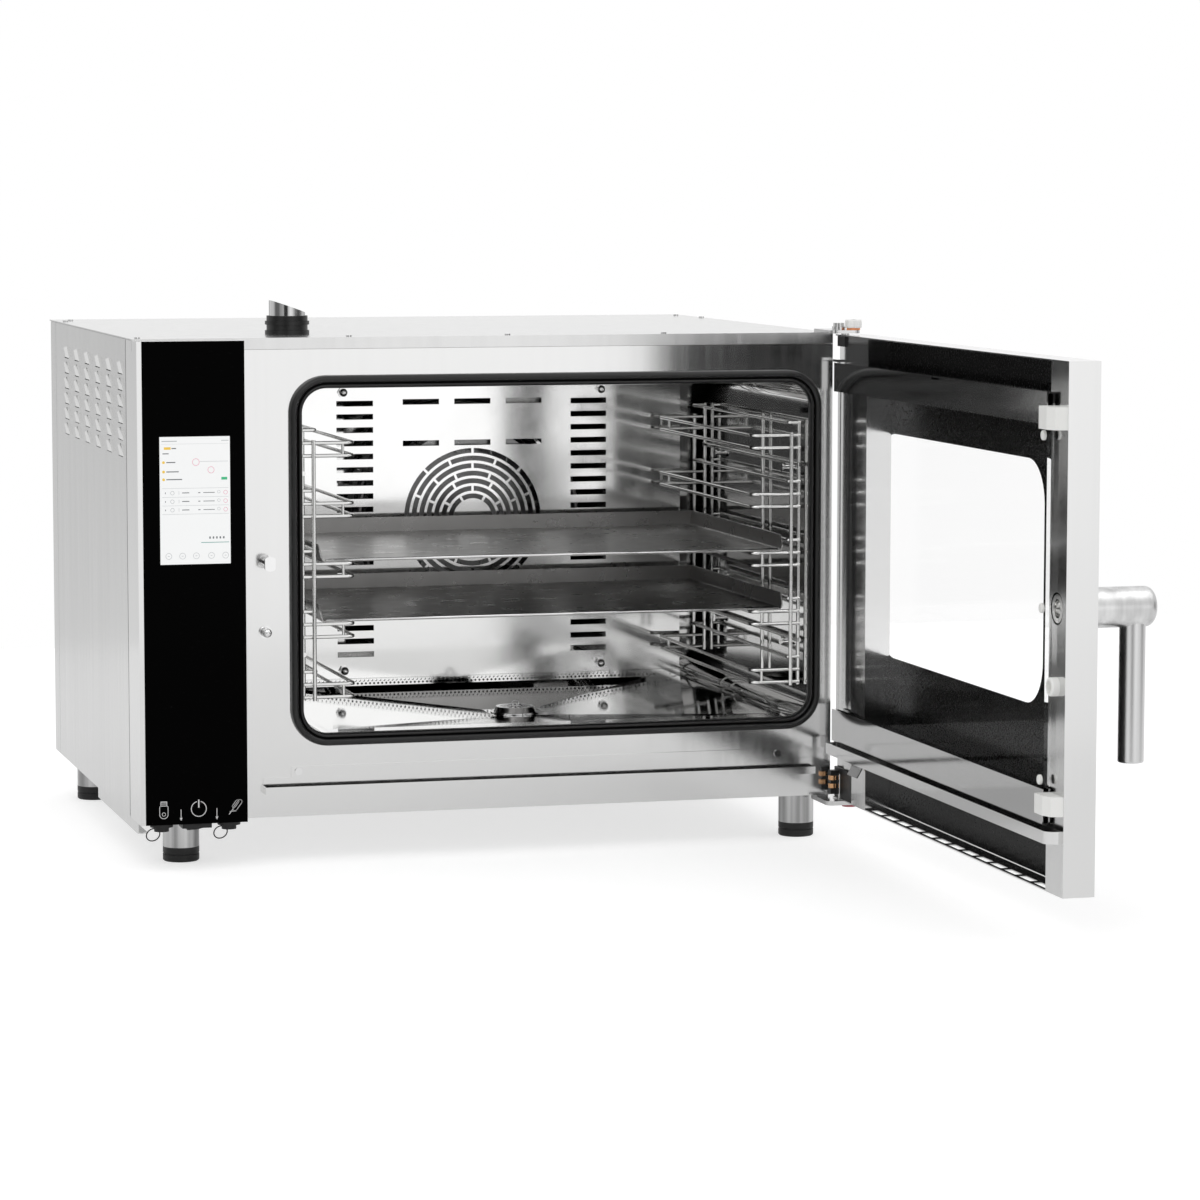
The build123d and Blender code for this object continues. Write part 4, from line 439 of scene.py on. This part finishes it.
# four quarter turns of a rounded rectangle: the corner's middle and the outward normal of each point
def roundedPath(left, right, low, high, radius, steps):
    turn = np.radians(np.linspace(0, 90, steps))
    turns = np.concatenate([turn + math.pi / 2 * quarter for quarter in range(4)])
    across = np.repeat([right - radius, left + radius, left + radius, right - radius], steps)
    height = np.repeat([high - radius, high - radius, low + radius, low + radius], steps)
    return np.stack([across, height], -1), np.stack([np.cos(turns), np.sin(turns)], -1)


def addGasket(s):
    bend = np.linspace(0, math.pi, s["lipSteps"])
    lips = []
    for lip in (s["outerLip"], s["innerLip"]):
        (mw, mh), (sw, sh) = lip["middle"], lip["size"]
        lips.append(np.stack([mw + sw * np.cos(bend), mh + sh * np.sin(bend)], -1))
    section = np.concatenate([s["outerBase"], lips[0], [s["groove"]], lips[1], s["innerBase"]])
    middle, normal = roundedPath(*s["mouth"], s["corner"], s["cornerSteps"])
    reach = s["corner"] + section[None, :, 0]
    x = middle[:, 0:1] + normal[:, 0:1] * reach
    z = middle[:, 1:2] + normal[:, 1:2] * reach
    y = -np.broadcast_to(section[None, :, 1], x.shape)
    points, faces = closedGrid(np.stack([x, y, z], -1))
    gasket = addMesh("gasket_profile", points, faces, "gasket_rubber", "case", smooth=True)
    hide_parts("door_gasket")


addGasket(gasketSettings)


# Small hardware of the hinges: a lobed nut, its ring and a washer

hardwareSettings = {
    "lock_nut": {
        "place": (461.0, -32.5, 594.6), "count": 90, "lobes": 5, "lobeDepth": 1.3,
        "profile": ((7.05, 0.0), (9.0, 0.0), (9.6, 0.8), (9.6, 8.6), (8.8, 10.2), (7.05, 10.4)),
    },
    "lock_ring": {
        "place": (461.0, -32.5, 592.1),
        "profile": ((7.05, 0.0), (8.4, 0.0), (8.4, 2.4), (7.05, 2.4)),
    },
    "pin_washer": {
        "place": (459.5, -33.5, -10.6),
        "profile": ((7.05, 0.0), (9.2, 0.0), (9.2, 2.4), (7.05, 2.4)),
    },
}
for name, materialName, slotName in (
    ("lock_nut", "white_plastic", "white_plastic"),
    ("lock_ring", "orange_plastic", "bronze"),
    ("pin_washer", "red_fibre", "bronze"),
):
    addRing(name, hardwareSettings[name], materialName, "case")


# Dark seal in the seam between the control column and the left side

sealSettings = {"low": (-445.05, 44.0, 2.0), "high": (-444.6, 47.0, 585.0)}


# a closed box between two opposite corners
def addBox(name, s, materialName, body):
    corner = np.array([(i, j, k) for i in (0, 1) for j in (0, 1) for k in (0, 1)], dtype=float)
    points = np.array(s["low"]) + corner * (np.array(s["high"]) - np.array(s["low"]))
    faces = [(0, 1, 3, 2), (4, 6, 7, 5), (0, 4, 5, 1), (2, 3, 7, 6), (0, 2, 6, 4), (1, 5, 7, 3)]
    return addMesh(name, points, faces, materialName, body)


addBox("column_seal", sealSettings, "gasket_rubber", "case")
print("hardware done")


# Bright rolled beads: along the front lip of each sheet pan, up its cheeks and back along the rim

panDrops = {"upper": 0.0, "lower": 74.5}
beadSettings = {
    "lip": {"radius": 1.7, "path": ((-204.0, 18.6, 313.6), (380.0, 18.6, 313.6))},
    "rimLeft": {"radius": 0.8, "path": ((-210.0, 18.6, 316.5), (-211.3, 31.0, 331.2), (-211.3, 408.0, 331.2))},
    "rimRight": {"radius": 0.8, "path": ((386.0, 18.6, 316.5), (387.3, 31.0, 331.2), (387.3, 408.0, 331.2))},
}


# a closed round tube: rings of points square to the path, with its two ends capped
def tube(path, radius, count=10):
    path = np.array(path, dtype=float)
    step = np.diff(path, axis=0)
    along = np.concatenate([step[:1], step[:-1] + step[1:], step[-1:]])
    along /= np.linalg.norm(along, axis=1, keepdims=True)
    across = np.cross(along, (0.3, 0.2, 0.9))
    across /= np.linalg.norm(across, axis=1, keepdims=True)
    other = np.cross(along, across)
    turn = np.linspace(0, 2 * math.pi, count, endpoint=False)[None, :, None]
    rings = path[:, None] + radius * (across[:, None] * np.cos(turn) + other[:, None] * np.sin(turn))
    i, j = np.meshgrid(np.arange(len(path) - 1), np.arange(count), indexing="ij")
    k = (j + 1) % count
    faces = np.stack([i * count + j, i * count + k, (i + 1) * count + k, (i + 1) * count + j], -1).reshape(-1, 4)
    last = (len(path) - 1) * count
    caps = [list(range(count))[::-1], [last + n for n in range(count)]]
    return rings.reshape(-1, 3), faces.tolist() + caps


for panName, drop in panDrops.items():
    for beadName, settings in beadSettings.items():
        points, faces = tube(settings["path"], settings["radius"])
        points = points - (0.0, 0.0, drop)
        bead = addMesh(f"{panName}_{beadName}", points, faces, "polished_steel", f"{panName}_pan", smooth=True)
print("beads done")


# Flat prints: each shape is a pair of points (x, z) and faces that look to the front

def bar(x0, x1, z0, z1):
    return np.array([(x0, z0), (x1, z0), (x1, z1), (x0, z1)]), [[0, 1, 2, 3]]


def disc(cx, cz, radius, count=28):
    turn = np.linspace(0, 2 * math.pi, count, endpoint=False)
    return np.stack([cx + radius * np.cos(turn), cz + radius * np.sin(turn)], -1), [list(range(count))]


# a band of constant width between two angles
def band(cx, cz, radius, width, start=0.0, end=360.0, count=40):
    turn = np.radians(np.linspace(start, end, count + 1))[:, None]
    reach = radius + np.array([-width / 2, width / 2])[None, :]
    points = np.stack([cx + reach * np.cos(turn), cz + reach * np.sin(turn)], -1).reshape(-1, 2)
    i = 2 * np.arange(count)
    return points, np.stack([i, i + 1, i + 3, i + 2], -1).tolist()


# a line of constant width along a path, each run a rectangle that overlaps the next a little
def stroke(path, width):
    path = np.asarray(path, dtype=float)
    a, b = path[:-1], path[1:]
    along = (b - a) / np.linalg.norm(b - a, axis=1, keepdims=True)
    side = np.stack([-along[:, 1], along[:, 0]], -1) * width / 2
    more = along * width * 0.35
    corners = np.stack([a - more + side, a - more - side, b + more - side, b + more + side], 1)
    return corners.reshape(-1, 2), np.arange(4 * len(a)).reshape(-1, 4).tolist()


def placePrint(name, shapes, y, materialName, body):
    points, faces, first = [], [], 0
    for shapePoints, shapeFaces in shapes:
        points.append(np.asarray(shapePoints, dtype=float))
        faces.extend([[first + i for i in face] for face in shapeFaces])
        first += len(shapePoints)
    flat = np.concatenate(points)
    placed = np.stack([flat[:, 0], np.full(len(flat), y), flat[:, 1]], -1)
    item = addMesh(name, placed, faces, materialName, body)
    return item


# Black border printed on the inner face of the outer pane

printSettings = {
    "x": 479.42, "outer": (7.2, 784.8, 0.0, 583.8), "outerCorner": 2.0,
    "window": (95.0, 642.0, 190.0, 468.0), "windowCorner": 50.0, "steps": 14,
}


def addDoorPrint(s):
    loops = []
    for box, radius in ((s["outer"], s["outerCorner"]), (s["window"], s["windowCorner"])):
        middle, normal = roundedPath(*box, radius, s["steps"])
        loops.append(middle + radius * normal)
    outer, inner = loops
    count = len(outer)
    i = np.arange(count)
    k = (i + 1) % count
    faces = np.stack([i, k, count + k, count + i], -1)
    loop = np.concatenate([outer, inner])
    points = np.stack([np.full(len(loop), s["x"]), -loop[:, 0], loop[:, 1]], -1)
    addMesh("outer_pane_print", points, faces, "black_print", "door")


addDoorPrint(printSettings)


# Screen content: plain bars and rings in place of words

inkSettings = {
    "grey": (0.16, 0.17, 0.18), "pale": (0.46, 0.48, 0.49), "yellow": (0.90, 0.60, 0.10),
    "pink": (0.80, 0.36, 0.46), "green": (0.08, 0.52, 0.26), "teal": (0.05, 0.30, 0.26),
    "panel": (0.60, 0.60, 0.60),
}
for name, color in inkSettings.items():
    materials["ink_" + name] = makeMaterial("ink_" + name, {
        "color": color, "rough": 0.4, "spread": 0.03, "scale": 300.0, "specular": 0.1,
        "glow": color, "glowPower": 0.06,
    })

# across is measured from the screen's left edge and down from its top edge
# patches: (left, right, upper, lower); rings: (across, down, radius, line)
screenSettings = {
    "left": -418.0, "top": 471.5, "y": -34.9,
    "patches": {
        "grey": ((14.5, 20.0, 13.2, 14.4), (3.5, 11.0, 19.5, 20.6)),
        "pale": (
            (2.5, 21.0, 4.6, 5.6), (75.0, 84.0, 4.4, 5.2), (2.0, 84.0, 8.4, 8.6),
            (48.5, 83.0, 29.7, 30.1), (2.5, 83.5, 61.8, 62.1),
        ),
        "yellow": ((5.2, 13.5, 12.2, 15.2),),
        "pink": (),
        "green": ((74.8, 82.0, 49.0, 52.3),),
        "teal": ((49.7, 83.8, 127.5, 128.2),),
    },
    "rings": {"pink": ((43.9, 30.6, 4.1, 0.6), (62.3, 40.2, 3.8, 0.6))},
    "phases": {"downs": (30.6, 41.9, 51.2), "ends": (19.0, 23.0, 27.0), "left": 8.0, "half": 0.6, "dot": (4.6, 1.7)},
    "rows": {
        "downs": (67.5, 77.8, 88.1),
        "patches": {
            "grey": ((6.2, 7.0, -1.0, 1.0), (26.8, 35.6, -0.5, 0.5), (46.5, 49.0, -0.5, 0.5), (52.7, 66.5, -0.4, 0.4)),
            "pale": ((2.5, 83.5, 4.9, 5.2), (22.8, 23.2, -2.2, 2.2)),
        },
        "rings": {"pale": ((15.0, 0.0, 2.2, 0.5), (71.6, -0.8, 1.7, 0.4)), "pink": ((79.8, 0.0, 2.3, 0.5),)},
    },
    "start": {"left": 59.5, "step": 4.2, "width": 1.8, "count": 5, "upper": 120.8, "lower": 123.4},
    "menu": {"across": (10.0, 26.8, 43.6, 62.0, 79.3), "down": 143.8, "radius": 3.6, "line": 0.5, "mark": (1.2, 0.3)},
}


def addScreenContent(s):
    ink = {name: [] for name in s["patches"]}

    def addPatches(table, down=0.0):
        for name, rows in table.items():
            for left, right, upper, lower in rows:
                low, high = s["top"] - down - lower, s["top"] - down - upper
                ink[name].append(bar(s["left"] + left, s["left"] + right, low, high))

    def addRings(table, down=0.0):
        for name, rows in table.items():
            for across, low, radius, line in rows:
                ink[name].append(band(s["left"] + across, s["top"] - down - low, radius, line))

    addPatches(s["patches"])
    addRings(s["rings"])
    phases, start, menu = s["phases"], s["start"], s["menu"]
    for down, end in zip(phases["downs"], phases["ends"]):
        addPatches({"grey": ((phases["left"], end, -phases["half"], phases["half"]),)}, down)
        ink["yellow"].append(disc(s["left"] + phases["dot"][0], s["top"] - down, phases["dot"][1]))
    for down in s["rows"]["downs"]:
        addPatches(s["rows"]["patches"], down)
        addRings(s["rows"]["rings"], down)
    for step in range(start["count"]):
        left = start["left"] + start["step"] * step
        addPatches({"grey": ((left, left + start["width"], start["upper"], start["lower"]),)})
    halfWidth, halfHeight = menu["mark"]
    for across in menu["across"]:
        addRings({"pale": ((across, 0.0, menu["radius"], menu["line"]),)}, menu["down"])
        addPatches({"pale": ((across - halfWidth, across + halfWidth, -halfHeight, halfHeight),)}, menu["down"])
    for name, shapes in ink.items():
        placePrint("screen_" + name, shapes, s["y"], "ink_" + name, "case")


addScreenContent(screenSettings)


# Pale signs near the bottom of the control glass: switch, plug, probe and two pointers

signSettings = {
    "y": -35.03, "line": 0.75, "thin": 0.6,
    "power": {"place": (-374.2, 19.4), "radius": 9.2, "line": 0.95, "open": (104, 436), "bar": (2.1, 10.8, 1.6)},
    "plug": {
        "place": (-417.0, 14.0), "radius": 5.1, "body": ((0.0, 9.5), (1.2, 10.4)), "neck": (1.4, 10.8, 15.6),
        "eye": (0.2, 2.1), "rungs": {"inset": 1.9, "low": 12.0, "step": 1.3, "count": 3, "line": 0.45},
    },
    "pointers": {
        "places": (-396.0, -352.0), "high": 19.2, "neck": 9.0, "head": 9.2, "tip": 5.4, "half": 1.7, "line": 0.8,
    },
    "probe": {
        "place": (-328.0, 23.0), "turn": 53.0, "half": 5.2, "radius": 2.6, "loops": ((1.0, 1.6), (0.72, -1.2)),
        "needle": (6.5, 14.5, 0.9), "ground": ((-8.0, 14.5), (-0.5, 15.0)),
    },
}


def powerSign(s):
    x, z = s["place"]
    low, high, width = s["bar"]
    return [band(x, z, s["radius"], s["line"], *s["open"]), stroke([(x, z + low), (x, z + high)], width)]


def plugSign(s, line, thin):
    x, z = s["place"]
    left, right = x - s["radius"], x + s["radius"]
    half = [(inset, z + height) for inset, height in ((0.0, 0.0), *s["body"])]
    body = [(left + inset, height) for inset, height in half]
    body += [(right - inset, height) for inset, height in half[::-1]]
    inset, low, high = s["neck"]
    neck = [(left + inset, z + low), (left + inset, z + high), (right - inset, z + high), (right - inset, z + low)]
    lift, eye = s["eye"]
    shapes = [
        stroke(body, line), band(x, z, s["radius"], line, 180, 360), stroke(neck, line), band(x, z + lift, eye, thin),
    ]
    rungs = s["rungs"]
    for step in range(rungs["count"]):
        height = z + rungs["low"] + rungs["step"] * step
        shapes.append(stroke([(left + rungs["inset"], height), (right - rungs["inset"], height)], rungs["line"]))
    return shapes


def pointerSigns(s):
    shapes = []
    for x in s["places"]:
        head = np.array([(x - s["half"], s["head"]), (x, s["tip"]), (x + s["half"], s["head"])])
        shapes += [stroke([(x, s["high"]), (x, s["neck"])], s["line"]), (head, [[0, 1, 2]])]
    return shapes


# two slanting long rings, a needle and a short line under them
def probeSign(s, thin):
    turn = math.radians(s["turn"])
    along = np.array([math.cos(turn), math.sin(turn)])
    side = np.array([-along[1], along[0]])
    middle = np.array(s["place"])
    arc = np.radians(np.linspace(-90, 90, 9))
    angle = np.concatenate([arc, arc + math.pi])[:, None]
    sign = np.repeat([1, -1], len(arc))[:, None]
    shapes = []
    for grow, shift in s["loops"]:
        half, radius = s["half"] * grow, s["radius"] * grow
        loop = middle - side * shift + along * (sign * half + radius * np.cos(angle)) + side * radius * np.sin(angle)
        shapes.append(stroke(np.concatenate([loop, loop[:1]]), thin))
    near, far, width = s["needle"]
    ground = [(middle[0] + x, z) for x, z in s["ground"]]
    return shapes + [stroke([middle - along * near, middle - along * far], width), stroke(ground, thin)]


def addPanelSigns(s):
    shapes = powerSign(s["power"]) + plugSign(s["plug"], s["line"], s["thin"])
    shapes += pointerSigns(s["pointers"]) + probeSign(s["probe"], s["thin"])
    placePrint("panel_signs", shapes, s["y"], "ink_panel", "case")


addPanelSigns(signSettings)
print("prints done")


# Floor

floorSettings = {"size": 2.4, "color": 0.55, "glow": 0.60, "glowAround": 0.32}


# the floor glows white to the camera and less to what it lights, and keeps the shadow
def addFloor(s):
    material = bpy.data.materials.new("floor_white")
    material.use_nodes = True
    tree = material.node_tree
    shader = tree.nodes["Principled BSDF"]
    shader.inputs["Base Color"].default_value = (s["color"], s["color"], s["color"], 1.0)
    shader.inputs["Roughness"].default_value = 0.7
    shader.inputs["Specular IOR Level"].default_value = 0.0
    shader.inputs["Emission Color"].default_value = (1, 1, 1, 1)
    glow = addRange(tree, seenRay(tree), s["glowAround"], s["glow"], 0.0, 1.0)
    tree.links.new(glow, shader.inputs["Emission Strength"])
    size = s["size"]
    mesh = bpy.data.meshes.new("floor")
    mesh.from_pydata([(-size, -size, 0), (size, -size, 0), (size, size, 0), (-size, size, 0)], [], [(0, 1, 2, 3)])
    floor = bpy.data.objects.new("floor", mesh)
    mesh.materials.append(material)
    bpy.context.scene.collection.objects.link(floor)


addFloor(floorSettings)
